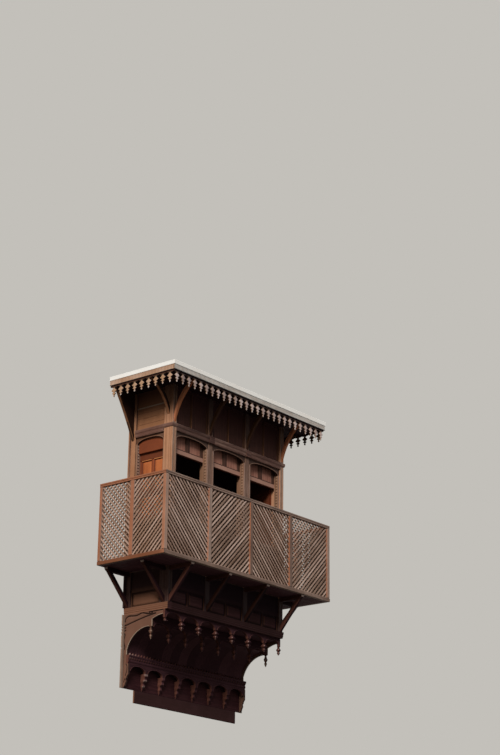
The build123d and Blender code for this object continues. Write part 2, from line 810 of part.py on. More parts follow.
for index, lattice in enumerate(left_lattices):
    write(f"lattice_left_{index + 1}", [lattice])
    write(f"lattice_right_{index + 1}", [mirrored(lattice)])
write("dado_panels", dado_panels)
write("base_cornice", [base_cornice])
write("outer_arcade", [outer_arcade])
write("inner_arcade", [inner_arcade])
write("base_soffit", [base_soffit])
write("cove_panel", [cove_panel])
write("side_board_left", [left_side_board])
write("side_board_right", [mirrored(left_side_board)])
write("lower_cornice", [lower_cornice])
write("lower_arcade", [lower_arcade])
write("lower_back_board", [lower_back_board])
write("bearer_board", [bearer_board])
write("canopy_struts", canopy_struts)
write("canopy_soffit", [canopy_soffit])
write("canopy_fascia", [canopy_fascia])
write("canopy_cap", [canopy_cap])
write("canopy_valance", [front_valance, left_valance, mirrored(left_valance)])
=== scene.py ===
import math
import bpy
import mathutils
import numpy as np
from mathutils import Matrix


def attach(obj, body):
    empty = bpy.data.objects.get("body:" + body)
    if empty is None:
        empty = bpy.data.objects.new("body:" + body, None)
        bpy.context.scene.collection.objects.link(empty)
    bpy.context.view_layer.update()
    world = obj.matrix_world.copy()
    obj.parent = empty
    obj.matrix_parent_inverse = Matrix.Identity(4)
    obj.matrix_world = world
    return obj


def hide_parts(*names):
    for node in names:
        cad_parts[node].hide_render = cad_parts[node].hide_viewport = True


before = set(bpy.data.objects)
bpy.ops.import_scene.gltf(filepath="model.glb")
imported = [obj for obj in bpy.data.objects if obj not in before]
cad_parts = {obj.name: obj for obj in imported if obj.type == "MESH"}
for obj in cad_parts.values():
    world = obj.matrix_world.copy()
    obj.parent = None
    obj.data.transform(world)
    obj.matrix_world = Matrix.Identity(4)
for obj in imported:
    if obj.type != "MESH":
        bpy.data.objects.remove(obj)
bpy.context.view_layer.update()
scene = bpy.context.scene
chance = np.random.default_rng(17)   # one seeded source, so every run gives the same timber

# Looks: studio, camera and finishes

studio = {
    "backdrop": "#c3c0ba",
    "bounce": "#4a4744",
    # painted shade: the colour of the card that stands for the shaded room behind the windows
    "paintedRoomShade": "#3a2c36",
    "floorLevel": -16.0,   # far below, because the bay hangs high and is also looked at from under it
    "floorReach": 140,
    "sunFrom": (-0.72, -0.45, 0.53),   # the lit sides are the left ones, the front is greyer
    "sunStrength": 2.7,
    "sunSoftness": 16,
    "skyLight": 0.52,
    "groundLight": 0.05,
}


def linear(colour):
    # sRGB hex to linear: (c / 12.92) near black, ((c + 0.055) / 1.055) ** 2.4 above
    channel = np.array([int(colour[i:i + 2], 16) for i in (1, 3, 5)]) / 255
    curved = np.where(channel <= 0.04045, channel / 12.92, ((channel + 0.055) / 1.055) ** 2.4)
    return (*curved.tolist(), 1.0)


def add(tree, kind, settings=None, links=None):
    # adds one node; settings are its sockets or its own options, links are socket: a node or one of its outputs
    node = tree.nodes.new("ShaderNode" + kind)
    for key, value in (settings or {}).items():
        if isinstance(key, int) or key in node.inputs:
            node.inputs[key].default_value = value
        else:
            setattr(node, key, value)
    for key, source in (links or {}).items():
        if isinstance(source, bpy.types.Node):
            source = next(output for output in source.outputs if output.enabled)
        tree.links.new(source, node.inputs[key])
    return node


def freshMaterial(name):
    material = bpy.data.materials.new(name)
    material.use_nodes = True
    material.node_tree.nodes.clear()
    return material, material.node_tree


def seenDirectly(tree):
    # 1 for what the camera, a reflection or a glass sees, 0 for light that bounces
    ray = add(tree, "LightPath").outputs
    either = add(tree, "Math", {"operation": "MAXIMUM"}, {0: ray["Is Camera Ray"], 1: ray["Is Glossy Ray"]})
    return add(tree, "Math", {"operation": "MAXIMUM"}, {0: either, 1: ray["Is Transmission Ray"]})


# What all the timber shares; a streak or pore is its length along the grain and its width across
wood = {"pore": (0.06, 0.0035), "toneSpread": 0.16, "dustOnTop": 0.55, "wearAndHighlightShare": 0.85, "deepestPaintedShade": 0.12,
        "mottle": (0.8425, 1.105), "bump": 0.35}


def timber(name, dark, middle, light, paintedSunColour, paintedSunShare, dust="#8d7a6c", dustShare=0.2, wearAndHighlightColour="#c7ad94",
           shine=0.2, spread=0.2, streak=(0.32, 0.016), rough=(0.62, 0.82), sawn=False,
           lowShade=1.0, highShade=1.0, highBand=(1.90, 2.24), deep="#22131a"):
    # Long streaks of early and late wood lie along each piece's own length, from its grain attribute, or
    # along x in sawn beams. Real growth rings are 2 to 4 mm apart; the streaks are about 16 mm wide, so that
    # they show.
    # Tone runs from -1 to 1 from board to board; under -1 it is painted shade in cuts, recesses and undersides,
    # over 1 it is a pale edge, partly wear and partly painted highlight.
    material, tree = freshMaterial(name)
    inBay = add(tree, "TexCoord").outputs["Object"]
    place = inBay if sawn else add(tree, "Attribute", {"attribute_name": "grain"}).outputs["Vector"]
    tone = add(tree, "Attribute", {"attribute_name": "tone"}).outputs["Fac"]
    wide, fine = (add(tree, "Mapping", {"Scale": (1 / length, 1 / width, 1 / width)}, {"Vector": place})
                  for length, width in (streak, wood["pore"]))
    streaks = add(tree, "TexNoise", {"Scale": 1.0, "Detail": 4.0, "Roughness": 0.62, "Distortion": 0.35},
                  {"Vector": wide})
    pores = add(tree, "TexNoise", {"Scale": 1.0, "Detail": 2.0, "Roughness": 0.5}, {"Vector": fine})
    poreShare = add(tree, "Math", {"operation": "MULTIPLY", 1: 0.28}, {0: pores})
    mixed = add(tree, "Math", {"operation": "MULTIPLY_ADD", 1: 0.72}, {0: streaks, 2: poreShare})
    toned = add(tree, "Math", {"operation": "MULTIPLY_ADD", 1: wood["toneSpread"]}, {0: tone, 2: mixed})
    ramp = add(tree, "ValToRGB", {}, {"Fac": toned})
    stops = ramp.color_ramp.elements
    for stop, place, colour in ((stops[0], 0.5 - spread, dark), (stops[1], 0.5 + spread, light)):
        stop.position = place
        stop.color = linear(colour)
    stops.new(0.5).color = linear(middle)
    # painted sunlight: what faces left is mixed toward a lighter, warmer colour; dust lies on what faces up
    normal = add(tree, "SeparateXYZ", {}, {"Vector": add(tree, "NewGeometry").outputs["Normal"]})
    paintedSunMask = add(tree, "MapRange", {"From Min": 0.1, "From Max": -0.9, "To Max": paintedSunShare},
                  {"Value": normal.outputs["X"]})
    paintedSunlit = add(tree, "Mix", {"data_type": "RGBA", 7: linear(paintedSunColour)}, {0: paintedSunMask, 6: ramp})
    upward = add(tree, "MapRange", {"From Min": 0.3, "From Max": 1.0, "To Max": wood["dustOnTop"]},
                 {"Value": normal.outputs["Z"]})
    cloud = add(tree, "TexNoise", {"Scale": 3.2, "Detail": 3.0, "Roughness": 0.6}, {"Vector": inBay})
    cloudy = add(tree, "MapRange", {"From Min": 0.42, "From Max": 0.68, "To Max": dustShare}, {"Value": cloud})
    dusty = add(tree, "Math", {"operation": "MAXIMUM"}, {0: upward, 1: cloudy})
    coloured = add(tree, "Mix", {"data_type": "RGBA", 7: linear(dust)}, {0: dusty, 6: paintedSunlit})
    # painted highlights and wear make edges paler, and painted shade darkens cuts, recesses and undersides
    wearAndHighlightMask = add(tree, "MapRange", {"From Min": 1.0, "From Max": 3.0, "To Max": wood["wearAndHighlightShare"]},
                 {"Value": tone})
    wearAndHighlighted = add(tree, "Mix", {"data_type": "RGBA", 7: linear(wearAndHighlightColour)}, {0: wearAndHighlightMask, 6: coloured})
    paintedShadeFactor = add(tree, "MapRange", {"From Min": -3.0, "From Max": -1.0, "To Min": wood["deepestPaintedShade"]},
                {"Value": tone})
    mottled = add(tree, "MapRange", {"From Min": 0.3, "From Max": 0.7, "To Min": wood["mottle"][0],
                                     "To Max": wood["mottle"][1]}, {"Value": cloud})
    level = add(tree, "Math", {"operation": "MULTIPLY"}, {0: paintedShadeFactor, 1: mottled})
    scaled = add(tree, "VectorMath", {"operation": "SCALE"}, {0: wearAndHighlighted, "Scale": level})
    # painted shade: under the floor and under the canopy the wood is mixed toward a dark colour
    height = add(tree, "SeparateXYZ", {}, {"Vector": inBay}).outputs["Z"]
    low = add(tree, "MapRange", {"From Min": -0.004, "From Max": -0.001, "To Min": lowShade}, {"Value": height})
    high = add(tree, "MapRange", {"From Min": highBand[0], "From Max": highBand[1], "To Min": 1.0,
                                  "To Max": highShade}, {"Value": height})
    ends = add(tree, "Math", {"operation": "MULTIPLY"}, {0: high, 1: low})
    shade = add(tree, "Mix", {"data_type": "RGBA", 6: linear(deep)}, {0: ends, 7: scaled})
    roughness = add(tree, "MapRange", {"From Min": 0.3, "From Max": 0.7, "To Min": rough[0],
                                       "To Max": rough[1]}, {"Value": streaks})
    bumps = add(tree, "Bump", {"Strength": wood["bump"], "Distance": 0.0015}, {"Height": mixed})
    skin = add(tree, "BsdfPrincipled", {"IOR": 1.5, "Specular IOR Level": shine},
               {"Base Color": shade, "Roughness": roughness, "Normal": bumps})
    add(tree, "OutputMaterial", {}, {"Surface": skin})
    return material


def agedPaint(name, paint, chalk, stain, bareWood):
    # Lime-white oil paint on boards, laid by brush and left in the sun: chalky, stained in runs, and worn
    # through in specks
    material, tree = freshMaterial(name)
    place = add(tree, "TexCoord").outputs["Object"]
    cloud = add(tree, "TexNoise", {"Scale": 4.0, "Detail": 5.0, "Roughness": 0.65}, {"Vector": place})
    chalky = add(tree, "MapRange", {"From Min": 0.35, "From Max": 0.65}, {"Value": cloud})
    ground = add(tree, "Mix", {"data_type": "RGBA", 6: linear(paint), 7: linear(chalk)}, {0: chalky})
    drawnOut = add(tree, "Mapping", {"Scale": (22.0, 22.0, 2.5)}, {"Vector": place})
    runs = add(tree, "TexNoise", {"Scale": 1.0, "Detail": 4.0, "Roughness": 0.6}, {"Vector": drawnOut})
    stained = add(tree, "MapRange", {"From Min": 0.60, "From Max": 0.80, "To Max": 0.5}, {"Value": runs})
    dirty = add(tree, "Mix", {"data_type": "RGBA", 7: linear(stain)}, {0: stained, 6: ground})
    flakes = add(tree, "TexNoise", {"Scale": 34.0, "Detail": 4.0, "Roughness": 0.7}, {"Vector": place})
    bare = add(tree, "MapRange", {"From Min": 0.74, "From Max": 0.78}, {"Value": flakes})
    colour = add(tree, "Mix", {"data_type": "RGBA", 7: linear(bareWood)}, {0: bare, 6: dirty})
    bumps = add(tree, "Bump", {"Strength": 0.4, "Distance": 0.002}, {"Height": flakes})
    skin = add(tree, "BsdfPrincipled", {"Roughness": 0.78, "IOR": 1.5, "Specular IOR Level": 0.3},
               {"Base Color": colour, "Normal": bumps})
    add(tree, "OutputMaterial", {}, {"Surface": skin})
    return material


def paleGround(name, colour, bounce):
    # Matt studio paper: pale to the eye, dimmer to bounced light, so that undersides stay dark
    material, tree = freshMaterial(name)
    seen = seenDirectly(tree)
    tint = add(tree, "Mix", {"data_type": "RGBA", 6: linear(bounce), 7: linear(colour)}, {0: seen})
    skin = add(tree, "BsdfPrincipled", {"Roughness": 1.0, "Specular IOR Level": 0.0}, {"Base Color": tint})
    add(tree, "OutputMaterial", {}, {"Surface": skin})
    return material


# Finishes: teak, planed and once oiled, now aged by sun and dust in different degrees; the very dark ones, for
# the parts under the balcony, the canopy and the base, hold painted shade
oldTeak = timber("oldTeak", "#3a2620", "#573c32", "#7a5b4c", "#8c5d40", 0.6)
beamTeak = timber("beamTeak", "#402a26", "#694a41", "#8b6d60", "#7b4f3d", 0.55, spread=0.16)
friezeTeak = timber("friezeTeak", "#241416", "#372224", "#4f3432", "#a97450", 0.9, "#4a3636", 0.1, shine=0.08,
                    highShade=0.3, deep="#35191c")
paintedShadeTeak = timber("paintedShadeTeak", "#2a181f", "#3d252b", "#533539", "#6e4436", 0.85, "#452e32", 0.08, "#dcc2b2",
                  shine=0.04)
underShadeTeak = timber("underShadeTeak", "#25141b", "#382128", "#4c3337", "#8f6249", 0.9, "#463037", 0.08, "#b39c88",
                   shine=0.05, highShade=0.12, highBand=(-0.33, -0.19), deep="#1c1016")
carvedTeak = timber("carvedTeak", "#281917", "#3f2b27", "#5c443c", "#7d5744", 0.85, "#5c4a42", 0.12, "#cdb59d",
                    shine=0.1)
bleachedTeak = timber("bleachedTeak", "#55463d", "#7c685d", "#a38f82", "#a8623b", 0.8, "#8f7767", 0.15,
                      "#c48c6c")
lathTeak = timber("lathTeak", "#745847", "#a78979", "#d6b8a8", "#a98065", 0.55, "#b3a191", 0.22)
postTeak = timber("postTeak", "#4c3128", "#836250", "#b69580", "#c3875e", 0.75, "#938071", 0.15,
                  spread=0.10, streak=(0.9, 0.013), lowShade=0.12, highShade=0.42)
mullionTeak = timber("mullionTeak", "#5a4338", "#8b6c5f", "#b19385", "#94694a", 0.8, "#8a7769", 0.18, "#cfa074",
                     lowShade=0.10, highShade=0.3)
orangeTeak = timber("orangeTeak", "#6a2a12", "#984a26", "#c6733c", "#b8643a", 0.4, "#8a5c3c", 0.06, "#dd9a5e")
pinkTeak = timber("pinkTeak", "#5c3a2f", "#8c5a4b", "#b07c69", "#9a6848", 0.4, "#85695a", 0.12, "#a89080")
redTeak = timber("redTeak", "#32191c", "#492a2c", "#603a38", "#5e3a2c", 0.3, "#40302b", 0.06, shine=0.05)
strutTeak = timber("strutTeak", "#4a2a20", "#6e4432", "#94654a", "#a3714c", 0.6, "#6b5040", 0.08, "#cf8058",
                   shine=0.1)
silverTeak = timber("silverTeak", "#9a9c98", "#c6c9c5", "#e2e6e2", "#bd9272", 1.0, "#c9c6c0", 0.2, "#f1ece4")
dropTeak = timber("dropTeak", "#8e7871", "#bba49d", "#dcc6bf", "#bb8d5f", 0.8, "#b5a09a", 0.15, "#f0e2d6")
sawnTeak = timber("sawnTeak", "#241614", "#382622", "#4d3932", "#5b4536", 0.3, shine=0.05,
                  rough=(0.75, 0.92), sawn=True)
limePaint = agedPaint("limePaint", "#fffbf3", "#fbf4ea", "#e9dccd", "#bba48e")

world = bpy.data.worlds.new("paleStudio")
scene.world = world
world.use_nodes = True
worldTree = world.node_tree
worldTree.nodes.clear()
upDown = add(worldTree, "SeparateXYZ", {}, {"Vector": add(worldTree, "TexCoord").outputs["Generated"]})
rise = add(worldTree, "MapRange", {"From Min": -0.30, "From Max": 0.60, "To Min": studio["groundLight"],
                                   "To Max": studio["skyLight"]}, {"Value": upDown.outputs["Z"]})
soft = add(worldTree, "Background", {"Color": (1, 1, 1, 1)}, {"Strength": rise})
pale = add(worldTree, "Background", {"Color": linear(studio["backdrop"]), "Strength": 1.0})
shown = add(worldTree, "MixShader", {}, {0: seenDirectly(worldTree), 1: soft, 2: pale})
add(worldTree, "OutputWorld", {}, {"Surface": shown})


def setTurn(item, ahead, up, position):
    # turns an item so that its -Z looks ahead and its +Y lies nearest to up, and sets it at a position
    ahead = np.array(ahead, float) / np.linalg.norm(ahead)
    right = np.cross(ahead, up)
    right /= np.linalg.norm(right)
    matrix = np.eye(4)
    matrix[:3, :3] = np.stack([right, np.cross(right, ahead), -ahead], axis=1)
    matrix[:3, 3] = position
    item.matrix_world = mathutils.Matrix(matrix.tolist())


lamp = bpy.data.lights.new("softSun", "SUN")
lamp.energy = studio["sunStrength"]
lamp.angle = math.radians(studio["sunSoftness"])
lampObject = bpy.data.objects.new("softSun", lamp)
scene.collection.objects.link(lampObject)
setTurn(lampObject, [-v for v in studio["sunFrom"]], (0, 0, 1), (-8, -6, 6))

# the street view: from the left and from below, as in the photograph
view = {"position": (-16.357, -14.405, -5.033), "ahead": (0.7275, 0.5963, 0.3394),
        "up": (-0.2708, -0.2049, 0.9406), "lens": 85.03}
camera = bpy.data.cameras.new("streetView")
camera.lens = view["lens"]
camera.sensor_width = 36
cameraObject = bpy.data.objects.new("streetView", camera)
scene.collection.objects.link(cameraObject)
setTurn(cameraObject, view["ahead"], view["up"], view["position"])
scene.camera = cameraObject
scene.view_settings.view_transform = "Standard"
print("studio and finishes ready")

# Mesh tools

smoothUnder = 34   # degrees; sharper edges than this stay sharp


def grid(*places):
    # x, y and z, stretched to one shape and joined into points
    return np.stack(np.broadcast_arrays(*places), -1)


def gridFaces(rows, columns, ringColumns=False):
    # quads between neighbouring points of a rows x columns grid
    i = np.arange(rows - 1)[:, None]
    j = np.arange(columns if ringColumns else columns - 1)
    k = (j + 1) % columns
    return grid(i * columns + j, i * columns + k, (i + 1) * columns + k, (i + 1) * columns + j).reshape(-1, 4)


def outwards(points, quads, tris):
    # turns the faces about where the signed volume, the sum of a . (b x c) / 6, is negative
    a, b, c = points[np.concatenate([quads[:, [0, 1, 2]], quads[:, [0, 2, 3]], tris])].transpose(1, 0, 2)
    if (a * np.cross(b, c)).sum() < 0:
        return quads[:, ::-1], tris[:, ::-1]
    return quads, tris


def solid(points, quads, tris, grain, tone=None):
    # one closed piece of timber with its own stretch of grain and its own tone
    quads, tris = outwards(points - points.mean(axis=0), quads, tris)
    shift = chance.uniform(-20, 20, 3)
    value = chance.uniform(-1, 1) if tone is None else tone
    return {"points": points, "quads": quads, "tris": tris, "grain": grain + shift,
            "tone": np.broadcast_to(value, len(points)).astype(float)}


def tube(rings, lengths=None, tone=None, endTones=None):
    # rings: stations x points round the section; neighbouring rings are joined and both ends closed by a fan
    m, n = rings.shape[:2]
    middles = rings.mean(axis=1)
    j = np.arange(n)
    k = (j + 1) % n
    first = grid(m * n, k, j)
    last = grid(m * n + 1, (m - 1) * n + j, (m - 1) * n + k)
    if lengths is None:
        lengths = np.concatenate([[0], np.cumsum(np.linalg.norm(np.diff(middles, axis=0), axis=1))])
    # the two coordinates across the grain are measured round the section and out from its middle
    x, y, z = (rings - middles[:, None]).transpose(2, 0, 1)
    grain = grid(lengths[:, None], x + z * 0.7, y + z * 0.7).reshape(-1, 3)
    grain = np.concatenate([grain, [[lengths[0], 0, 0], [lengths[-1], 0, 0]]])
    if endTones is not None:
        tone = np.append(np.broadcast_to(tone, (m, n)), endTones)
    points = np.concatenate([rings.reshape(-1, 3), middles[[0, -1]]])
    return solid(points, gridFaces(m, n, True), np.concatenate([first, last]), grain, tone)


def slab(front, back, axis=0, tone=None):
    # two grids of the same shape, a face and a back, joined round their border; the grain runs along one axis
    rows, columns = front.shape[:2]
    count = rows * columns
    index = np.arange(count).reshape(rows, columns)
    loop = np.concatenate([index[0, :-1], index[:-1, -1], index[-1, :0:-1], index[:0:-1, 0]])
    follow = np.roll(loop, -1)
    faces = gridFaces(rows, columns)
    quads = np.concatenate([faces, faces[:, ::-1] + count, grid(follow, loop, loop + count, follow + count)])
    points = np.concatenate([front.reshape(-1, 3), back.reshape(-1, 3)])
    order = [axis] + [n for n in range(3) if n != axis]
    return solid(points, quads, np.zeros((0, 3), int), points[:, order], tone)


def relief(face, across, level, axis, tone, backTone):
    # a carved face with a plain back, which lies at one level of the coordinate across the board
    back = face.copy()
    back[..., across] = level
    tones = np.append(np.broadcast_to(tone, face.shape[:2]), np.full(face[..., 0].size, backTone))
    return slab(face, back, axis, tones)


def bar(x0, x1, y0, y1, z0, z1, axis, ease=0.003, wave=0.0, stations=2, tone=None):
    # a length of timber with eased edges: an eight-sided section carried along one axis, drawn in at both ends
    low, high = np.sort(np.array([(x0, y0, z0), (x1, y1, z1)], float), axis=0)
    middle, half = (low + high) / 2, (high - low) / 2
    ease = min(ease, *(half * 0.45))
    run = np.linspace(low[axis] + ease, high[axis] - ease, stations)
    run = np.concatenate([low[[axis]], run, high[[axis]]])
    inset = np.zeros(len(run))
    inset[[0, -1]] = ease
    a, b = [n for n in range(3) if n != axis]
    signA = np.array([1, 1, 1, 1, -1, -1, -1, -1])
    signB = np.array([1, 1, -1, -1, -1, -1, 1, 1])
    shortA = np.array([1, 0, 0, 1, 1, 0, 0, 1])
    phase = chance.uniform(0, 6.3, 2) if wave else (0, 0)
    rings = np.zeros((len(run), 8, 3))
    rings[..., axis] = run[:, None]
    for n, sign, short, beat, begin in ((a, signA, shortA, 3.1, phase[0]),
                                        (b, signB, 1 - shortA, 2.3, phase[1])):
        # a board is never quite straight: two slow sines, always inwards
        bend = wave * (0.25 + 0.25 * np.sin(run * beat + begin))
        rings[..., n] = middle[n] + sign * (half[n] - ease * short - (inset + bend)[:, None])
    return tube(rings, run, tone)


def moved(part, *place):
    # the same piece at new coordinates, with grain of its own
    return solid(grid(*place), part["quads"], part["tris"], part["grain"], part["tone"])


def mirrored(parts):
    # the same pieces on the other side of the bay
    return [moved(part, -x, y, z) for part in parts for x, y, z in [part["points"].T]]


def both(parts):
    return parts + mirrored(parts)


# Main sizes of the bay in metres, as in the part's source
bay = {"halfWidth": 1.09, "depth": 0.69, "foot": -0.43, "soffit": 2.275}
frontBays = [(-1.015, -0.4025), (-0.3175, 0.3175), (0.4025, 1.015)]
sideBay = (0.085, 0.55)
allBays = [(0, *ends) for ends in frontBays] + [(1, *sideBay), (2, *sideBay)]   # side, start and end along it
postInner = frontBays[0][0]


def placed(parts, side, halfWidth=bay["halfWidth"], depth=bay["depth"], start=0.0, up=0.0):
    # drawn along x with the face at y = 0; side 0 is the front, and 1 and 2 are the left and right cheeks,
    # where x is the distance from the wall
    copies = []
    for part in parts:
        x, y, z = part["points"].T + np.array([[start], [0], [up]])
        copies.append(moved(part, *((x, y - depth), (y - halfWidth, -x), (halfWidth - y, -x))[side], z))
    return copies


def assemble(name, parts, finish, *nodes, slotName="dark_wood"):
    # puts many small solids into one mesh object, which then stands for its CAD nodes
    counts = np.cumsum([0] + [len(part["points"]) for part in parts])
    faces = []
    for part, start in zip(parts, counts):
        faces += (part["quads"] + start).tolist() + (part["tris"] + start).tolist()
    points, grains, tones = (np.concatenate([part[key] for part in parts])
                             for key in ("points", "grain", "tone"))
    mesh = bpy.data.meshes.new(name)
    mesh.from_pydata(points, [], faces)
    grain = mesh.attributes.new("grain", "FLOAT_VECTOR", "POINT")
    grain.data.foreach_set("vector", grains.astype(np.float32).ravel())
    tone = mesh.attributes.new("tone", "FLOAT", "POINT")
    tone.data.foreach_set("value", tones.astype(np.float32))
    mesh.polygons.foreach_set("use_smooth", np.ones(len(mesh.polygons), bool))
    mesh.set_sharp_from_angle(angle=math.radians(smoothUnder))
    mesh.materials.append(finish)
    piece = bpy.data.objects.new(name, mesh)
    scene.collection.objects.link(piece)
    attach(piece, "root")
    if nodes:
        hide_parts(*nodes)


def pick(piece, names):
    # several of a piece's values at once
    return (piece[name] for name in names.split())


def throughPoints(at, places, values):
    # passes smoothly through given values, level at each of them: t * t * (3 - 2 t) between neighbours
    places = np.asarray(places, float)
    values = np.asarray(values, float)
    k = np.clip(np.searchsorted(places, at, side="right") - 1, 0, len(places) - 2)
    t = np.clip((at - places[k]) / (places[k + 1] - places[k]), 0, 1)
    return values[k] + (values[k + 1] - values[k]) * t * t * (3 - 2 * t)


def smoothThrough(at, values):
    # Catmull-Rom: a cubic through the values whose slope at each is half the step between its neighbours
    k = np.clip(at.astype(int), 0, len(values) - 2)
    t = at - k
    before = values[np.maximum(k - 1, 0)]
    after = values[np.minimum(k + 2, len(values) - 1)]
    a, b = values[k], values[k + 1]
    return 0.5 * (2 * a + (b - before) * t + (2 * before - 5 * a + 4 * b - after) * t ** 2
                  + (3 * a - before - 3 * b + after) * t ** 3)


def circle(count):
    # cos and sin of evenly spaced angles
    angle = np.linspace(0, 2 * math.pi, count, endpoint=False)
    return np.cos(angle), np.sin(angle)


def squared(value, power):
    # |value| ** power with its sign kept: under 1 it makes a circle's section squarer
    return np.sign(value) * np.abs(value) ** power


def scallops(count, depth, power):
    # a row of round notches, six stations to each: depth x (1 - |sin| ** power)
    return depth * (1 - np.abs(np.sin(math.pi * np.linspace(0, count, count * 6 + 1))) ** power)


def wrapped(profile, stations, tones=None):
    # profile: (out, z) carried along a path given as stations of (x, y, xOut, yOut), mitred where it turns
    out, z = np.asarray(profile, float).T
    x, y, xOut, yOut = np.asarray(stations, float).T[:, :, None]
    rings = grid(x + xOut * out, y + yOut * out, z)
    if tones is None:
        return tube(rings)
    return tube(rings, None, np.array(tones)[:, None], [tones[0], tones[-1]])


def frontRun(profile, x0, x1):
    return wrapped(profile, [(x0, -bay["depth"], 0, -1), (x1, -bay["depth"], 0, -1)])


def cheekRuns(profile):
    return both([wrapped(profile, [(-bay["halfWidth"], -y, -1, 0) for y in sideBay])])


def hollow(start, end, sink, count=6):
    # points along a shallow curve between two profile points, pushed to one side
    t = np.linspace(0, 1, count + 2)[1:-1, None]
    start, end = np.array(start, float), np.array(end, float)
    side = np.array([start[1] - end[1], end[0] - start[0]])
    side /= np.linalg.norm(side)
    return (start + (end - start) * t + side * sink * 4 * t * (1 - t)).tolist()


# Posts, mullions and beam

posts = {"ease": 0.005, "corner": 0.004, "wave": 0.0015, "reeds": (0.22, 0.62, 0.82), "groove": 0.003,
         "grooveWidth": 0.011, "grooveTone": -2.2, "mullionFront": -0.675, "mullionBack": -0.54}
wallStrip = {"outer": -1.126, "inner": -1.0905, "thickness": 0.016, "ease": 0.003, "wave": 0.001,
             "levels": ((bay["foot"], -0.001), (0.026, bay["soffit"]))}


def reededPost(x0, x1, y0, y1):
    # plan section: a rectangle whose left side and front are cut by narrow V grooves, carried up the post
    deep, width, corner, ease = pick(posts, "groove grooveWidth corner ease")
    half = width / 2
    section = [(x1, y1, 0), (x0 + corner, y1, 0), (x0, y1 - corner, 0)]
    for share in posts["reeds"]:
        y = y1 + (y0 - y1) * share
        section += [(x0, y + half, 0), (x0 + deep, y, 1), (x0, y - half, 0)]
    x = (x0 + x1) / 2
    section += [(x0, y0 + ease, 0), (x0 + ease, y0, 0), (x - half, y0, 0), (x, y0 + deep, 1), (x + half, y0, 0),
                (x1 - corner, y0, 0), (x1, y0 + corner, 0)]
    x, y, isGroove = np.array(section).T
    z = np.linspace(bay["foot"], bay["soffit"], 15)
    # painted shade darkens the V grooves
    tone = np.where(isGroove > 0, posts["grooveTone"], chance.uniform(-0.3, 0.5))
    return tube(grid(x, y, z[:, None]), z, tone, [0, 0])


upPost = (bay["foot"], bay["soffit"], 2, posts["ease"], posts["wave"], 14)
cornerPosts = [reededPost(-bay["halfWidth"], postInner, -bay["depth"], -sideBay[1])]
wallPosts = [bar(-bay["halfWidth"], postInner, -sideBay[0], 0, *upPost)]
# a thin strip covers the joint with the wall, above and below the balcony's floor
for z0, z1 in wallStrip["levels"]:
    wallPosts.append(bar(wallStrip["outer"], wallStrip["inner"], -wallStrip["thickness"], 0, z0, z1, 2,
                         wallStrip["ease"], wallStrip["wave"], 9))
mullions = [bar(frontBays[0][1], frontBays[1][0], posts["mullionFront"], posts["mullionBack"], *upPost)]
assemble("cornerPosts", both(cornerPosts), postTeak, "corner_posts")
assemble("wallPosts", both(wallPosts), postTeak, "wall_posts")
assemble("windowMullions", both(mullions), mullionTeak, "mullions")

beam = {"back": -0.052, "foot": 1.69, "top": 1.78, "lip": 0.015, "face": 0.006, "reed": 0.009,
        "capBack": -0.015, "capHalf": 0.045}
mullionMiddle = (frontBays[0][1] + frontBays[1][0]) / 2
back, foot, top, lip, face, reed = pick(beam, "back foot top lip face reed")
beamProfile = [(back, foot), (face - 0.003, foot), (face, foot + 0.003), (face, 1.700), (reed, 1.702),
               (reed, 1.710), (face, 1.712), (face, 1.736)] + hollow((face, 1.738), (0.013, 1.760), -0.004)
beamProfile += [(lip, 1.760), (lip, 1.776), (lip - 0.004, top), (back, top)]
capProfile = [(reed, foot), (lip, foot + 0.002), (lip, top - 0.002), (reed, top), (beam["capBack"], top),
              (beam["capBack"], foot)]
beamParts = [frontRun(beamProfile, *ends) for ends in frontBays]
for x in (mullionMiddle, -mullionMiddle):
    beamParts.append(frontRun(capProfile, x - beam["capHalf"], x + beam["capHalf"]))
assemble("windowBeam", beamParts + cheekRuns(beamProfile), beamTeak, "window_beam")

capital = {"back": 0.0005, "foot": 1.732, "top": 1.78, "out": 0.014}
back, foot, top, out = pick(capital, "back foot top out")
capitalProfile = [(back, foot), (0.006, foot + 0.002)] + hollow((0.006, foot + 0.004), (0.012, 1.758), -0.003)
capitalProfile += [(out, 1.760), (out, 1.777), (out - 0.003, top), (back, top)]
left, front = -bay["halfWidth"], -bay["depth"]
stations = [(left, -sideBay[1], -1, 0), (left, front, -1, -1), (postInner, front, 0, -1)]
capitals = wrapped(capitalProfile, stations)
assemble("postCapitals", both([capitals]), beamTeak, "post_capitals")
print("posts and beam ready")

# Panelled boards


def halves(x0, x1, edge, gap, whole=False):
    # where the fields of a bay start and end: one field, or two that stand off its middle by the gap
    middle = (x0 + x1) / 2
    return [(x0 + edge, x1 - edge)] if whole else [(x0 + edge, middle - gap), (middle + gap, x1 - edge)]


def breaks(low, high, fields, steps):
    # grid lines of a panelled board: its edges, and each moulding's steps inside every field
    lines = [low, high]
    for start, end in fields:
        for step in steps:
            if step < (end - start) / 2:
                lines += [start + step, end - step]
    return np.unique(np.round(np.concatenate([lines, np.linspace(low, high, 7)]), 5))


def panelled(board, x0, x1, z0, z1, columns, rows, mould, axis=2, tone=None, groove=-2.4, frameTone=None):
    # face depth = moulding profile of the distance to the nearest edge of the field that a point lies in
    steps, depths = mould
    x, z = np.meshgrid(breaks(x0, x1, columns, steps), breaks(z0, z1, rows, steps), indexing="ij")
    y = np.full(x.shape, float(board["setback"]))
    base = chance.uniform(-1, 1) if tone is None else tone
    tones = np.full(x.shape, base if frameTone is None else frameTone)
    for c, d in rows:
        for a, b in columns:
            inside = np.minimum(np.minimum(x - a, b - x), np.minimum(z - c, d - z))
            y = np.where(inside > -1e-6, board["setback"] + np.interp(inside, steps, depths), y)
            # painted shade lies at the foot of the moulding, the third of its steps
            tones = np.where(inside > -1e-6, np.where(inside < steps[3] + 1e-6, groove, base), tones)
    return relief(grid(x, y, z), 1, board["setback"] + board["thickness"], axis, tones, base)


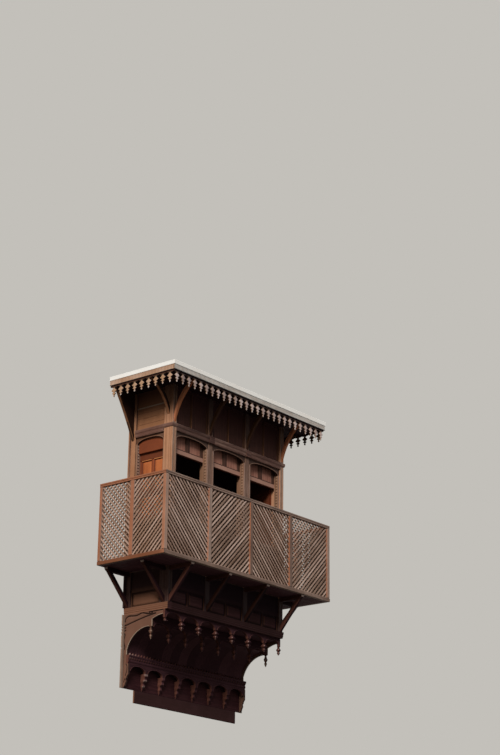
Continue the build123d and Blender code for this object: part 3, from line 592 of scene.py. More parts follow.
# mouldings: steps inwards from the field's edge, and the depth reached at each
ovoloAndField = ([0, 0.002, 0.005, 0.008, 0.016, 0.034, 0.040], [0, 0.001, 0.004, 0.009, 0.009, 0.003, 0.003])
sunkField = ([0, 0.002, 0.006, 0.010, 0.012], [0, 0.001, 0.005, 0.0095, 0.0095])
raisedField = ([0, 0.001, 0.003, 0.016, 0.034, 0.038], [0, 0.006, 0.010, 0.010, 0.001, 0.001])

# Window aprons, hidden behind the lattice from the street
apron = {"setback": 0.022, "thickness": 0.028, "foot": 0.025, "top": 0.57, "margin": 0.062}
apronParts = []
for side, x0, x1 in allBays:
    foot, top, margin = pick(apron, "foot top margin")
    columns = halves(x0, x1, margin, margin / 2, side)
    rows = [(foot + margin, top - margin)]
    apronParts += placed([panelled(apron, x0, x1, foot, top, columns, rows, ovoloAndField)], side)
assemble("windowAprons", apronParts, friezeTeak, "window_dado")

# Base panels under the balcony: a rail at floor level and one long raised panel in each half
basePanel = {"setback": 0.022, "thickness": 0.028, "edge": 0.012, "gap": 0.010, "bottom": -0.42, "rail": -0.254}
basePanels = []
for side, x0, x1 in allBays:
    columns = halves(x0, x1, basePanel["edge"], basePanel["gap"], side)
    rows = [(basePanel["bottom"], basePanel["rail"])]
    basePanels += placed([panelled(basePanel, x0, x1, bay["foot"], 0, columns, rows, raisedField, 0)], side)
assemble("basePanels", basePanels, underShadeTeak, "dado_panels")

# Frieze over the windows: two panels in each front bay with a cover strip between them;
# the cheeks have level boards below a joint strip with a painted highlight, and one plank above it; the boards
# get darker upwards, painted shade under the canopy
frieze = {"setback": 0.025, "thickness": 0.027, "foot": 1.78, "edge": 0.020, "gap": 0.017, "strip": 0.010,
          "rows": [(1.798, 2.255)], "tone": 0.2, "boards": (1.78, 1.852, 1.930, 1.998, 2.065, 2.275),
          "boardShadeTones": (0.5, 0.9, 0.0, -0.5, -1.1), "crack": 0.0004, "joint": 2.065, "jointHalf": 0.008,
          "jointHighlightTone": 3}
friezeParts = []
for side, x0, x1 in allBays:
    face, thickness, foot, crack, joint, half = pick(frieze, "setback thickness foot crack joint jointHalf")
    if side:
        parts = [bar(x0, x1, face + 0.002, face + thickness, a + crack, b - crack, 0, 0.002, tone=tone)
                 for a, b, tone in zip(frieze["boards"], frieze["boards"][1:], frieze["boardShadeTones"])]
        parts.append(bar(x0, x1, face - 0.007, face + 0.0015, joint - half, joint + half, 0,
                         tone=frieze["jointHighlightTone"]))
    else:
        middle, strip = (x0 + x1) / 2, frieze["strip"]
        columns = halves(x0, x1, frieze["edge"], frieze["gap"])
        parts = [panelled(frieze, x0, x1, foot, bay["soffit"], columns, frieze["rows"], sunkField,
                          tone=frieze["tone"]),
                 bar(middle - strip, middle + strip, face - 0.006, face + 0.004, foot, bay["soffit"], 2)]
    friezeParts += placed(parts, side)
assemble("friezePanels", friezeParts, friezeTeak, "frieze_panels")

# Front sashes, pushed up behind the arches, each with its two lower panels and a pale facing strip showing
sash = {"setback": 0.0803, "thickness": 0.032, "foot": 1.44, "top": 2.24,
        "rows": [(1.498, 1.688), (1.738, 1.928)], "stile": 0.062, "muntinHalf": 0.033, "play": 0.0003,
        "tone": 0.7, "frameTone": -1.6,
        "facingEdge": 0.0245, "facing": (0.0765, 0.0802, 1.4405, 1.492), "facingTone": 1.7}
sashParts = []
for x0, x1 in frontBays:
    foot, top, play, edge = pick(sash, "foot top play facingEdge")
    columns = halves(x0, x1, sash["stile"], sash["muntinHalf"])
    sashParts += placed([panelled(sash, x0 + play, x1 - play, foot, top, columns, sash["rows"], sunkField,
                                  tone=sash["tone"], frameTone=sash["frameTone"]),
                         bar(x0 + edge, x1 - edge, *sash["facing"], 0, 0.001, tone=sash["facingTone"])], 0)
assemble("frontSashes", sashParts, pinkTeak, "front_sashes")

# Side sashes, shut: two tall fielded panels below, a deep rail, and a plank above
# each bar: how far it stands in from the bay's edges, then its front, back, foot, top, ease and tone
sideSash = {"setback": 0.0803, "thickness": 0.032, "back": 0.112, "foot": 0.6303, "top": 1.400,
            "rows": ((0.6883, 0.95), (1.01, 1.395)), "edge": 0.050, "gap": 0.020, "tone": 1.0, "frameTone": -0.7,
            "grooveTone": -1.9, "backTone": -2.3,
            "rail": (0, 0.074, 0.112, 1.4003, 1.4886, 0.001, -2.0),
            "plank": (0, 0.0803, 0.112, 1.4886, 1.6897, 0.001, -1.8),
            # the lips at the upper edges of the lower panels carry a painted highlight
            "lip": (0.002, 0.0735, 0.0802, 1.3925, 1.4003, 0.001, 2.2),
            "frontPlank": (0.0223, 0.043, 0.0795, 1.4885, 1.6885, 0.004, -1.45)}
x0, x1 = sideBay[0] + sash["play"], sideBay[1] - sash["play"]
columns = halves(x0, x1, sideSash["edge"], sideSash["gap"])
foot, top, rows, tone, frameTone, groove = pick(sideSash, "foot top rows tone frameTone grooveTone")
sideParts = [panelled(sideSash, x0, x1, foot, top, columns, rows, ovoloAndField, tone=tone, frameTone=frameTone,
                      groove=groove)]
for kind, (a, b) in [("rail", (x0, x1)), ("plank", (x0, x1))] + [("lip", ends) for ends in columns] + [
        ("frontPlank", (x0, x1))]:
    edge, front, back, foot, top, ease, tone = sideSash[kind]
    sideParts.append(bar(a + edge, b - edge, front, back, foot, top, 0, ease, tone=tone))
# painted shade: their backs, which no sun reaches, are darkened
for part in sideParts:
    atBack = part["points"][:, 1] > sideSash["back"] - 0.0005
    part["tone"] = np.where(atBack, sideSash["backTone"], part["tone"])
sideParts = placed(sideParts, 1) + placed(sideParts, 2)
assemble("sideSashes", sideParts, orangeTeak, "side_sashes", slotName="newer_wood")
print("panelled boards ready")

# Window openings: notched jambs, arched heads, sills

jamb = {"width": 0.024, "sideWidth": 0.022, "setback": 0.014, "foot": 0.63, "spring": 1.605, "notch": 0.0375,
        "notchDepth": 0.009}


def notchedJamb(edge, way, width):
    # plan section of a narrow strip, from the post (u = 0) to its open side (u = width), carried up the window;
    # the bead on the open side is cut by a row of round notches
    fromEdge = np.array([0, 0.004, 0, 0, 0.006, 0.006, 0, 0, 0.006, 0.006, 0.001, 0.001, 0])
    u = (width - fromEdge) * np.array([0, 1, 1, 1, 1, 1, 1, 1, 1, 1, 1, 1, 0])
    depth = np.array([0, 0, 0.004, 0.013, 0.014, 0.017, 0.020, 0.038, 0.041, 0.045, 0.046, 0.065, 0.065])
    isBead = np.array([0, 0, 0, 0, 0, 0, 1, 1, 0, 0, 0, 0, 0])
    cut = scallops(round((jamb["spring"] - jamb["foot"]) / jamb["notch"]), jamb["notchDepth"], 0.6)[:, None]
    z = np.linspace(jamb["foot"], jamb["spring"], len(cut))
    rings = grid(edge + way * (u - isBead * cut), jamb["setback"] + depth, z[:, None])
    # painted shade darkens the notches and the faces set back behind the strip's front; the bead between the
    # notches is pale
    tone = np.where(isBead > 0, 1.6 - cut / jamb["notchDepth"] * 3.6, np.where(u < width - 0.005, -1.9, 0.0))
    return tube(rings, z, np.where(depth < 0.001, 0.2, tone), [0, 0])


jambParts = []
for side, x0, x1 in allBays:
    width = jamb["sideWidth"] if side else jamb["width"]
    jambParts += placed([notchedJamb(x0, 1, width), notchedJamb(x1, -1, width)], side)
assemble("windowJambs", jambParts, mullionTeak, "window_jambs")

arch = {"spring": 1.605, "crown": 1.662, "top": 1.69, "setback": 0.014, "thickness": 0.026}


def archedHead(x0, x1, width):
    # lower edge = a low arch between the jambs, rise x (1 - |u| ** 2.4) ** 0.6; rows of points follow it up
    # as a bead and a flat
    middle = (x0 + x1) / 2
    half = (x1 - x0) / 2 - width
    across = np.sin(np.linspace(-math.pi / 2, math.pi / 2, 41))
    x = np.concatenate([[x0], middle + half * across, [x1]])[:, None]
    share = np.clip(np.abs(x - middle) / half, 0, 1)
    edge = arch["spring"] + (arch["crown"] - arch["spring"]) * (1 - share ** 2.4) ** 0.6
    up = np.array([0, 0.0015, 0.006, 0.010, 0.0115, 1.0])
    depth = np.array([0.003, 0, 0, 0.0, 0.004, 0.004])
    # painted shade darkens the arch's lower edge and the sunk step behind the bead
    tone = np.array([-2.2, 0.6, 1.2, 0.8, -1.6, -1.2])
    face = grid(x, arch["setback"] + depth, np.minimum(edge + up, arch["top"]))
    return relief(face, 1, arch["setback"] + arch["thickness"], 0, tone, -2.8)


headParts = []
for side, x0, x1 in allBays:
    headParts += placed([archedHead(x0, x1, jamb["sideWidth"] if side else jamb["width"])], side)
assemble("archHeads", headParts, oldTeak, "arch_heads")

sill = {"foot": 0.57, "top": 0.63, "nose": 0.010, "back": -0.116}
sillProfile = [(sill["back"], sill["foot"]), (-0.002, sill["foot"]), (0.0, 0.590)]
sillProfile += hollow((0.0, 0.592), (sill["nose"], 0.606), -0.003)
sillProfile += [(sill["nose"], 0.622), (0.007, 0.628), (0.002, sill["top"]), (sill["back"], sill["top"])]
sillParts = [frontRun(sillProfile, *ends) for ends in frontBays]
assemble("windowSills", sillParts + cheekRuns(sillProfile), postTeak, "window_sills")
print("window openings ready")

# Balcony: rails, posts, lattices, floor, arms and struts

balcony = {"halfWidth": 1.59, "depth": 1.06, "rail": 0.045, "foot": 0.048, "head": 0.955, "post": 0.056,
           "wallPost": 0.04, "ease": 0.004, "wave": 0.0008}
railInner = balcony["halfWidth"] - balcony["rail"]
railBack = balcony["depth"] - balcony["rail"]


def threeSided(profile, size, corner, leftTone, cornerTone, frontTone):
    # (out, z) carried from the wall round the two front corners and back to the wall
    w, d = size["halfWidth"], size["depth"]
    stations = [(-w, 0, -1, 0), (-w, corner - d, -1, 0), (-w, -d, -1, -1), (corner - w, -d, 0, -1),
                (w, -d, 1, -1), (w, 0, 1, 0)]
    return wrapped(profile, stations, [leftTone, leftTone, cornerTone, frontTone, frontTone, leftTone])


# tones: left side, corner and front
topRail = {"profile": [(-0.045, 0.955), (-0.004, 0.955), (0.0, 0.959), (0.0, 0.966), (-0.004, 0.970),
                       (-0.004, 0.976), (0.0, 0.980), (0.0, 0.994), (-0.003, 0.998), (-0.009, 1.0),
                       (-0.036, 1.0), (-0.045, 0.994)],
           "tones": (-0.2, 0.0, 0.2), "node": "balcony_top_rail"}
bottomRail = {"profile": [(-0.045, 0.0), (-0.003, 0.0), (0.0, 0.003), (0.0, 0.040), (-0.007, 0.048),
                          (-0.045, 0.048)],
              "tones": (-1.8, -1.05, -0.3), "node": "balcony_bottom_rail"}
for name, rail in (("topRail", topRail), ("bottomRail", bottomRail)):
    run = threeSided(rail["profile"], balcony, 0.08, *rail["tones"])
    assemble(name, [run], bleachedTeak, rail["node"], slotName="weathered_wood")

upRails = (balcony["foot"], balcony["head"], 2, balcony["ease"], balcony["wave"], 8)
frontPitch = (2 * balcony["halfWidth"] - balcony["post"]) / 4
sidePitch = (railBack - balcony["wallPost"] + balcony["post"]) / 2
balconyPosts = []
for index in range(5):
    x = -balcony["halfWidth"] + index * frontPitch
    # painted sunlight: the left corner post is set lighter
    tone = None if index else 1.6   # the left corner post stands in the sun
    balconyPosts.append(bar(x, x + balcony["post"], -balcony["depth"], -railBack, *upRails, tone))
sideFoot = -(balcony["wallPost"] + sidePitch)
for y0, y1 in ((-balcony["wallPost"], 0), (sideFoot, sideFoot + balcony["post"])):
    balconyPosts += both([bar(-balcony["halfWidth"], -railInner, y0, y1, *upRails)])
assemble("balconyPosts", balconyPosts, bleachedTeak, "balcony_posts", slotName="weathered_wood")

# Real pitch of the laths, which the part's source draws coarser
lattice = {"pitch": 0.045, "widths": (0.0225, 0.021), "thickness": 0.0115, "setback": 0.012, "ease": 0.002,
           "housed": 0.008, "stray": 0.0012, "shortest": 0.03, "short": 0.12, "innerShadeTone": -1.75,
           "backTone": -2.1}


def latticeLaths(width, lean):
    # laths lie at 45 degrees, a pitch apart; each end is cut where its middle line meets the frame, parallel to
    # the rail or post that holds it: the cut shifts along the lath by the distance from its middle line
    size = np.array([width, balcony["head"] - balcony["foot"]])
    housed, stray, ease = pick(lattice, "housed stray ease")
    parts = []
    for layer, way in ((0, lean), (1, -lean)):
        e, n = np.array([(1.0, way), (-way, 1.0)]) / math.sqrt(2)
        reach = int(size.sum() / lattice["pitch"] / 1.4) + 2
        offsets = (np.arange(-reach, reach + 1) + 0.5) * lattice["pitch"]
        offsets = offsets + chance.uniform(-1, 1, len(offsets)) * stray
        base = size / 2 + offsets[:, None] * n
        toSide, toRail = np.sort([(-housed - base) / e, (size + housed - base) / e], axis=0).transpose(2, 0, 1)
        start = np.maximum(toSide[0], toRail[0])
        end = np.minimum(toSide[1], toRail[1])
        near = lattice["setback"] + layer * lattice["thickness"]
        far = near + lattice["thickness"]
        w = np.array([near, near + ease, far - ease, far, far, far - ease, near + ease, near])
        for k in np.nonzero(end - start > lattice["shortest"])[0]:
            half = lattice["widths"][layer] / 2 * chance.uniform(0.93, 1.05)
            v = np.array([half - ease, half, half, half - ease, ease - half, -half, -half, ease - half])
            cutStart = way * (1 if toSide[0][k] > toRail[0][k] else -1)
            cutEnd = way * (1 if toSide[1][k] < toRail[1][k] else -1)
            t = np.linspace(0, 1, 2 if end[k] - start[k] < lattice["short"] else 6)[:, None]
            along = start[k] + (end[k] - start[k]) * t + cutStart * v * (t == 0) + cutEnd * v * (t == 1)
            across = v + chance.uniform(-1, 1) * stray * np.sin(math.pi * t)
            rings = grid(base[k, 0] + along * e[0] + across * n[0], w,
                         base[k, 1] + along * e[1] + across * n[1] + balcony["foot"])
            # the outer laths keep their pale colour; painted shade darkens the inner laths, which lie in their
            # shade, and the backs and flanks of every lath
            tone = lattice["innerShadeTone"] + chance.uniform(-0.3, 0.3) if layer else chance.uniform(-1, 1)
            shaded = np.where(np.isclose(w, near), tone, min(tone, lattice["backTone"]))
            parts.append(tube(rings, along.mean(axis=1), shaded, [tone, tone]))
    return parts


panels = [(0, "Front", frontPitch, 1 + index, index * frontPitch + balcony["post"] - balcony["halfWidth"])
          for index in range(4)]
panels += [(side, word, sidePitch, 1 + index, balcony["wallPost"] + index * sidePitch)
           for index in range(2) for side, word in ((1, "Left"), (2, "Right"))]
for side, word, pitch, number, start in panels:
    laths = latticeLaths(pitch - balcony["post"], -1 if number % 2 else 1)
    laths = placed(laths, side, balcony["halfWidth"], balcony["depth"], start)
    node = f"lattice_{word.lower()}_{number}"
    assemble(f"laths{word}{number}", laths, lathTeak, node, slotName="weathered_wood")
print("lattices ready")

# Floor boards, butted with open joints, which show from below: along the front, and from the wall at the sides
floorBoards = {"thickness": 0.025, "width": 0.118, "gap": 0.003, "ease": 0.002, "frontCount": 3, "sideCount": 4}
thickness, width, gap, ease = pick(floorBoards, "thickness width gap ease")
boards = []
for index in range(floorBoards["frontCount"]):
    y = index * width - railBack
    end = min(y + width, -bay["depth"]) - gap
    boards.append(bar(-railInner, railInner, y, end, 0, thickness, 0, ease))
width = (railInner - bay["halfWidth"]) / floorBoards["sideCount"]
for index in range(floorBoards["sideCount"]):
    x = index * width - railInner
    boards += both([bar(x, x + width - gap, -bay["depth"], 0, 0, thickness, 1, ease)])
assemble("balconyFloor", boards, paintedShadeTeak, "balcony_floor")

arms = {"size": 0.05, "noseSteps": 8, "ease": 0.004, "frontReach": 1.04, "sideReach": 0.39, "tone": -1.6,
        "wallEndTone": -1.2, "noseTone": 3.0}


def nosedArm(length):
    # side outline drawn outwards along x with its top at z = 0: square in the wall, and a quarter-round nose
    size, ease, half = arms["size"], arms["ease"], arms["size"] / 2
    t = np.linspace(0, math.pi / 2, arms["noseSteps"])[1:]
    out = np.concatenate([[0, length - size], length - size + size * np.sin(t), [length]])
    bottom = np.concatenate([[-size, -size], -size * np.cos(t), [-ease]])
    y = np.array([-half, -half, ease - half, half - ease, half, half])
    z = np.minimum(grid(0.0, bottom + ease, bottom, bottom, bottom + ease, 0.0), 0)
    # painted shade darkens the arms, which hang in the shade; their rounded noses are set pale
    tone = np.where(out > length - 0.010, arms["noseTone"], arms["tone"])
    return tube(grid(out[:, None], y, z), None, tone[:, None], [arms["wallEndTone"], arms["noseTone"]])


def turned(parts, x, y, toFront):
    # a piece drawn outwards along x is set at (x, y) and points to the front, or else to the left
    copies = []
    for part in parts:
        out, across, z = part["points"].T
        copies.append(moved(part, x + across, y - out, z) if toFront else moved(part, x - out, y - across, z))
    return copies


# where arms and struts stand: on a corner post and a mullion in front, on the corner and wall posts at the side
cornerMiddle, wallMiddle = -(bay["depth"] + sideBay[1]) / 2, -sideBay[0] / 2
frontStations = [((postInner - bay["halfWidth"]) / 2, -bay["depth"]), (mullionMiddle, posts["mullionFront"])]
armPlaces = [(x, y, True, arms["frontReach"] + y) for x, y in frontStations]
armPlaces += [(-bay["halfWidth"], y, False, arms["sideReach"]) for y in (cornerMiddle, wallMiddle)]
armParts = []
for x, y, toFront, length in armPlaces:
    armParts += turned([nosedArm(length)], x, y, toFront)
assemble("balconyArms", both(armParts), paintedShadeTeak, "balcony_arms")

# the struts' tones under -1 are painted shade
lowerStrut = {"width": 0.042, "ease": 0.004, "corner": 0.08, "stations": 7, "depth": 0.052, "top": -0.05,
              "back": 0.03, "tones": (-0.6, -2.6, -1.6, -1.6)}


def strut(kind, reach, foot, top, upright, level, tone, bow=0.0, rub=0.0):
    # an upright cut against the post and a level one under its arm; both edges are lines bowed to the side by
    # 4 bow t (1 - t), and eased sections span from the outer edge, which gets a painted highlight, to the inner
    # one
    def edge(z0, x1):
        t = np.linspace(0, 1, kind["stations"])[:, None]
        out = 4 * bow * t * (1 - t) / math.hypot(x1, top - z0)
        return t * x1 - out * (top - z0), z0 + t * (top - z0) + out * x1
    width, ease, corner = pick(kind, "width ease corner")
    half = width / 2
    y = np.array([-half, ease - half, half - ease, half, half, half - ease, ease - half, -half])
    share = np.array([corner, 0, 0, corner, 1 - corner, 1, 1, 1 - corner])
    (outerX, outerZ), (innerX, innerZ) = edge(foot, reach), edge(foot + upright, reach - level)
    rings = grid(outerX * (1 - share) + innerX * share, y, outerZ * (1 - share) + innerZ * share)
    return tube(rings, None, np.where(share == 0, tone + rub, tone), [tone, tone])


strutParts = []
foot, top = bay["foot"], lowerStrut["top"]
for (x, y, toFront, length), tone in zip(armPlaces, lowerStrut["tones"]):
    reach = length - lowerStrut["back"]
    slope = lowerStrut["depth"] * math.hypot(reach, top - foot)
    parts = [strut(lowerStrut, reach, foot, top, slope / reach, slope / (top - foot), tone)]
    strutParts += turned(parts, x, y, toFront)
assemble("balconyStruts", both(strutParts), paintedShadeTeak, "balcony_struts")
print("balcony ready")

# Canopy: struts, boards, fascia, cap and hanging drops

canopy = {"halfWidth": 1.495, "depth": 1.06, "top": 2.335}
# the corner front strut's pale tone and the highlight on each strut's outer edge are painted light; the darker
# tones, and the web's, are painted shade
canopyStrut = {"width": 0.040, "ease": 0.005, "corner": 0.10, "stations": 25, "upright": 0.09, "level": 0.062,
               "bow": 0.05, "frontReach": 1.008, "frontFoot": 1.795, "frontLitAndShadedTones": (2.7, -2.35), "frontRub": 0.4,
               "sideReach": 0.353, "sideFoot": 1.895, "sideTone": -2.75, "sideRub": 3.9}
bracket = {"foot": 1.655, "bow": 0.012, "rub": 2.1, "webBow": -0.034, "webHalf": 0.011, "webTone": -2.7}


def curvedStrut(reach, foot, bow, tone, rub):
    upright, level = pick(canopyStrut, "upright level")
    return strut(canopyStrut, reach, foot, bay["soffit"], upright, level, tone, bow, rub)


def wallBracket(reach):
    # its rim is a nearly straight strut; a thin web fills the corner between the rim, the post and the soffit
    foot, bow, rub, webBow, half, tone = pick(bracket, "foot bow rub webBow webHalf webTone")
    rim = curvedStrut(reach, foot, bow, canopyStrut["sideTone"], rub)
    t = np.linspace(0, 1, 13)[:, None]
    out = (reach * t + webBow * t * (1 - t)) * np.linspace(0, 0.96, 6)
    web = grid(out, -half, foot + (bay["soffit"] - foot) * t)
    return [rim, relief(web, 1, half, 2, tone, tone)]


canopyStruts = []
reach, foot, bow, rub = pick(canopyStrut, "frontReach frontFoot bow frontRub")
for (x, y), tone in zip(frontStations, canopyStrut["frontLitAndShadedTones"]):
    canopyStruts += turned([curvedStrut(reach + y, foot, bow, tone, rub)], x, y, True)
reach, foot, tone, rub = pick(canopyStrut, "sideReach sideFoot sideTone sideRub")
canopyStruts += turned([curvedStrut(reach, foot, bow, tone, rub)], -bay["halfWidth"], cornerMiddle, False)
canopyStruts += turned(wallBracket(reach), -bay["halfWidth"], wallMiddle, False)
assemble("canopyStruts", both(canopyStruts), strutTeak, "canopy_struts")

fascia = {"thickness": 0.03, "rib": 0.024, "ribDepth": 0.005, "dark": 0.004}
soffitBoard = {"count": 20, "gap": 0.002, "thickness": 0.025}
fasciaInner = canopy["halfWidth"] - fascia["thickness"]
fasciaBack = canopy["depth"] - fascia["thickness"]
soffitWidth = 2 * fasciaInner / soffitBoard["count"]
soffitBoards = []
# painted shade: every soffit board gets a tone under -1
for index in range(soffitBoard["count"]):
    x = index * soffitWidth - fasciaInner
    soffitBoards.append(bar(x, x + soffitWidth - soffitBoard["gap"], -fasciaBack, 0, bay["soffit"],
                            bay["soffit"] + soffitBoard["thickness"], 1, tone=chance.uniform(-2.6, -1.8)))
assemble("canopySoffit", soffitBoards, paintedShadeTeak, "canopy_soffit")


def ribbedFascia():
    # the face steps in and out along the path like a reeded strip
    foot, low, top = bay["soffit"], bay["soffit"] + fascia["dark"], canopy["top"]
    z = np.array([foot, low - 0.001, low, low + 0.004, top - 0.004, top - 0.001, top])
    isRib = np.array([0, 0, 0, 1, 1, 0, 0])
    # painted shade: the bottom strip and the hollows of the ribs are darker, and the face gets lighter towards
    # the top
    fasciaShadeTones = np.array([-2.8, -2.8, -0.6, -0.3, 0.3, 0.6, 0.6])
    parts = []
    for way, length in ((0, 2 * canopy["halfWidth"]), (-1, canopy["depth"]), (1, canopy["depth"])):
        dip = scallops(round(length / fascia["rib"]), fascia["ribDepth"], 0.7)[:, None] * isRib
        s = np.linspace(0, length, len(dip))[:, None]
        tone = fasciaShadeTones - dip / fascia["ribDepth"] * 2.2
        if way:
            face = grid(way * (canopy["halfWidth"] - dip), -s * fasciaBack / canopy["depth"], z)
            parts.append(relief(face, 0, way * fasciaInner, 1, tone, -1.0))
        else:
            face = grid(s - canopy["halfWidth"], dip - canopy["depth"], z)
            parts.append(relief(face, 1, -fasciaBack, 0, tone, -1.0))
    return parts


assemble("canopyFascia", ribbedFascia(), silverTeak, "canopy_fascia")

# the cap: its rounded edge as (out, z), and two rings (half width, depth, z) that close its nearly flat top
cap = {"edge": [(0.0, 2.335), (0.0035, 2.3375), (0.004, 2.352), (0.0035, 2.363), (0.0035, 2.370), (0.004, 2.385),
                (0.0, 2.389), (-0.006, 2.390)],
       "top": [(0.9, 0.7, 2.3895), (0.3, 0.35, 2.389)], "sag": 0.0025}
capLevels = [(canopy["halfWidth"] + out, canopy["depth"] + out, z) for out, z in cap["edge"]] + cap["top"]
t = np.linspace(0, 1, 61)[:, None]
capRings = []
for half, depth, z in capLevels:
    a, b, c, d = np.array([(-half, 0, z), (-half, -depth, z), (half, -depth, z), (half, 0, z)])
    capRings.append(np.concatenate([a + (b - a) * t[::3], b + (c - b) * t[1:], c + (d - c) * t[3::3]]))
capRings = np.array(capRings)
# old boards under the paint have sagged a little: a slow wave along the edge, always downwards
sag = cap["sag"] * (0.5 + 0.5 * np.sin(capRings[..., 0] * 5.1 + 1.3) * np.cos(capRings[..., 1] * 4.3))
capRings[1:, :, 2] -= sag[1:] * np.linspace(0.2, 1, len(capRings) - 1)[:, None]
assemble("canopyCap", [tube(capRings)], limePaint, "canopy_cap", slotName="white_cap")

# half widths of a drop at places down its length, measured from the soffit
drops = {"pitch": 0.110, "thickness": 0.018, "setback": 0.014, "band": 0.020, "length": 0.150,
         "bandShadeTone": -1.9, "flankShadeTone": -2.6,
         "places": (0, 0.024, 0.027, 0.040, 0.054, 0.066, 0.070, 0.084, 0.094, 0.103, 0.108, 0.122, 0.130, 0.139,
                    0.150),
         "halves": (0.050, 0.046, 0.016, 0.011, 0.026, 0.041, 0.040, 0.020, 0.008, 0.027, 0.026, 0.007, 0.006,
                    0.013, 0.004)}


def hangingDrop(centre, stretch):
    # half width passes through the carver's widths down the drop; the section is a rounded slip of the board
    depth = np.linspace(drops["band"], drops["length"], 40)[:, None]
    half = np.interp(depth, drops["places"], drops["halves"]) * stretch
    thick = drops["thickness"] / 2 * np.interp(depth, [0, 0.12, 0.15], [1, 1, 0.55])
    c, s = circle(12)
    rings = grid(centre + half * squared(c, 0.45), drops["thickness"] / 2 + thick * squared(s, 0.45), -depth)
    # painted shade darkens the cut flanks, the back and the top under the soffit, and the tip gets a painted
    # highlight
    isFace = s < -0.3
    face = np.where(isFace, chance.uniform(-0.8, 1.2), drops["flankShadeTone"])
    top = np.interp(depth, [0.024, 0.030, 0.052, 0.136, 0.142], [-2.8, -2.3, 0.0, 0.0, 2.6])
    return tube(rings, None, np.where(top < -0.1, np.minimum(face, top), face + isFace * top), [-2, -2])


dropOuter = canopy["halfWidth"] - drops["setback"]
dropFront = canopy["depth"] - drops["setback"]
sideLength = dropFront - drops["thickness"]
dropRails, hanging = [], []
for side, length in ((0, 2 * dropOuter), (1, sideLength), (2, sideLength)):
    pitch = length / round(length / drops["pitch"])
    # the band that carries the drops is darkened with painted shade
    rail = [bar(0, length, 0, drops["thickness"], -drops["band"], 0, 0, tone=drops["bandShadeTone"])]
    row = [hangingDrop((index + 0.5) * pitch, pitch / drops["pitch"]) for index in range(round(length / pitch))]
    place = (side, dropOuter, dropFront, 0 if side else -dropOuter, bay["soffit"])
    dropRails += placed(rail, *place)
    hanging += placed(row, *place)
assemble("canopyDrops", hanging, dropTeak, "canopy_valance")
assemble("dropRails", dropRails, paintedShadeTeak)
print("canopy ready")

# Base: cornice, arcades, cove, side boards and lower tier

corniceProfile = [(-0.077, -0.43), (0.008, -0.43), (0.010, -0.432), (0.010, -0.448), (0.008, -0.451)]
corniceProfile += hollow((0.008, -0.452), (0.003, -0.473), 0.002)
corniceProfile += [(0.003, -0.475), (0.006, -0.478), (0.0065, -0.483), (0.006, -0.488), (0.002, -0.492),
                   (0.0, -0.510), (-0.077, -0.510)]
# painted light and shade: the cornice is lighter on its left side and darker across the front
assemble("baseCornice", [threeSided(corniceProfile, bay, 0.09, 0.4, -0.4, -1.5)], underShadeTeak, "base_cornice")

arcades = {"count": 7, "pier": 0.052, "thickness": 0.030, "backTone": -1.5}
outer = {"halfWidth": 1.09, "front": -0.655, "top": -0.51, "spring": -0.61, "rise": 0.074}
inner = {"halfWidth": 1.064, "front": -0.445, "top": -0.54, "spring": -0.695, "rise": 0.058}
lower = {"halfWidth": 1.064, "front": -0.095, "top": -1.09, "spring": -1.175, "rise": 0.066}
tierHalf = inner["halfWidth"]


def arcadeBoard(halfWidth, front, top, spring, rise):
    # each arch is half an ellipse; rows of points stand off its edge along the ellipse's own outward direction,
    # as a raised band and a sunk line, and run up to the board's top
    pitch = 2 * halfWidth / arcades["count"]
    half = (pitch - arcades["pier"]) / 2
    angle = np.linspace(math.pi, 0, 25)[:, None]
    offsets = np.array([0, 0.0015, 0.009, 0.0105, 0.014, 0.0155])
    depths = np.array([0.002, 0, 0, 0.003, 0.003, 0.0015, 0.0015])
    # painted shade darkens the sunk line round each arch
    tone = np.array([-0.8, 0.3, 0.3, -1.7, -1.3, -0.9, -0.6])
    end = np.full((1, len(offsets)), halfWidth)
    x, z = [-end], [np.full(end.shape, spring)]
    for index in range(arcades["count"]):
        middle = (index + 0.5) * pitch - halfWidth
        x += [middle + (half + offsets) * np.cos(angle), np.full(end.shape, middle + pitch / 2)]
        z += [spring + (rise + offsets) * np.sin(angle), np.full(end.shape, spring)]
    x[-1] = end
    x, z = np.concatenate(x), np.concatenate(z)
    face = grid(np.column_stack([x, x[:, -1]]), front + depths, np.column_stack([z, np.full(len(z), top)]))
    return relief(face, 1, front + arcades["thickness"], 0, tone, arcades["backTone"])


def piers(halfWidth):
    # the places between the arches
    return [-halfWidth + index * 2 * halfWidth / arcades["count"] for index in range(1, arcades["count"])]


def carvedDrop(x, y, top, length, scale=1.0, cut=1.0, rub=1.0):
    # section: a rounded square, |cos| by |sin| to a power; its half width passes through neck, lobe, waist, bud
    # and tip
    places = [0, 0.10, 0.24, 0.38, 0.52, 0.60, 0.72, 0.86, 1.0]
    halves = np.array([0.026, 0.016, 0.022, 0.036, 0.028, 0.014, 0.025, 0.016, 0.003]) * scale
    s = np.linspace(0, cut, 30)[:, None]
    half = throughPoints(s, places, halves)
    c, w = circle(16)
    rings = grid(x + half * squared(c, 0.55), y + half * squared(w, 0.55), top - s * length)
    if cut < 1:
        rings[-1, :, 2] += chance.uniform(-0.004, 0.006, len(c))   # the broken end is splintered
    # painted highlights: lobe, bud and point are pale on the arrises of the square section, and the rest is
    # darkened with painted shade
    arris = np.clip(np.abs(c * w) * 2, 0, 1) ** 2
    pale = np.interp(s, [0, 0.2, 0.36, 0.5, 0.62, 0.74, 0.85, 1.0], [0, 0.1, 0.9, 0.3, 0.1, 1.0, 0.5, 1.3])
    return tube(rings, None, -1.8 + 5.4 * pale * (0.1 + 0.9 * arris) * rub, [-1, 1])


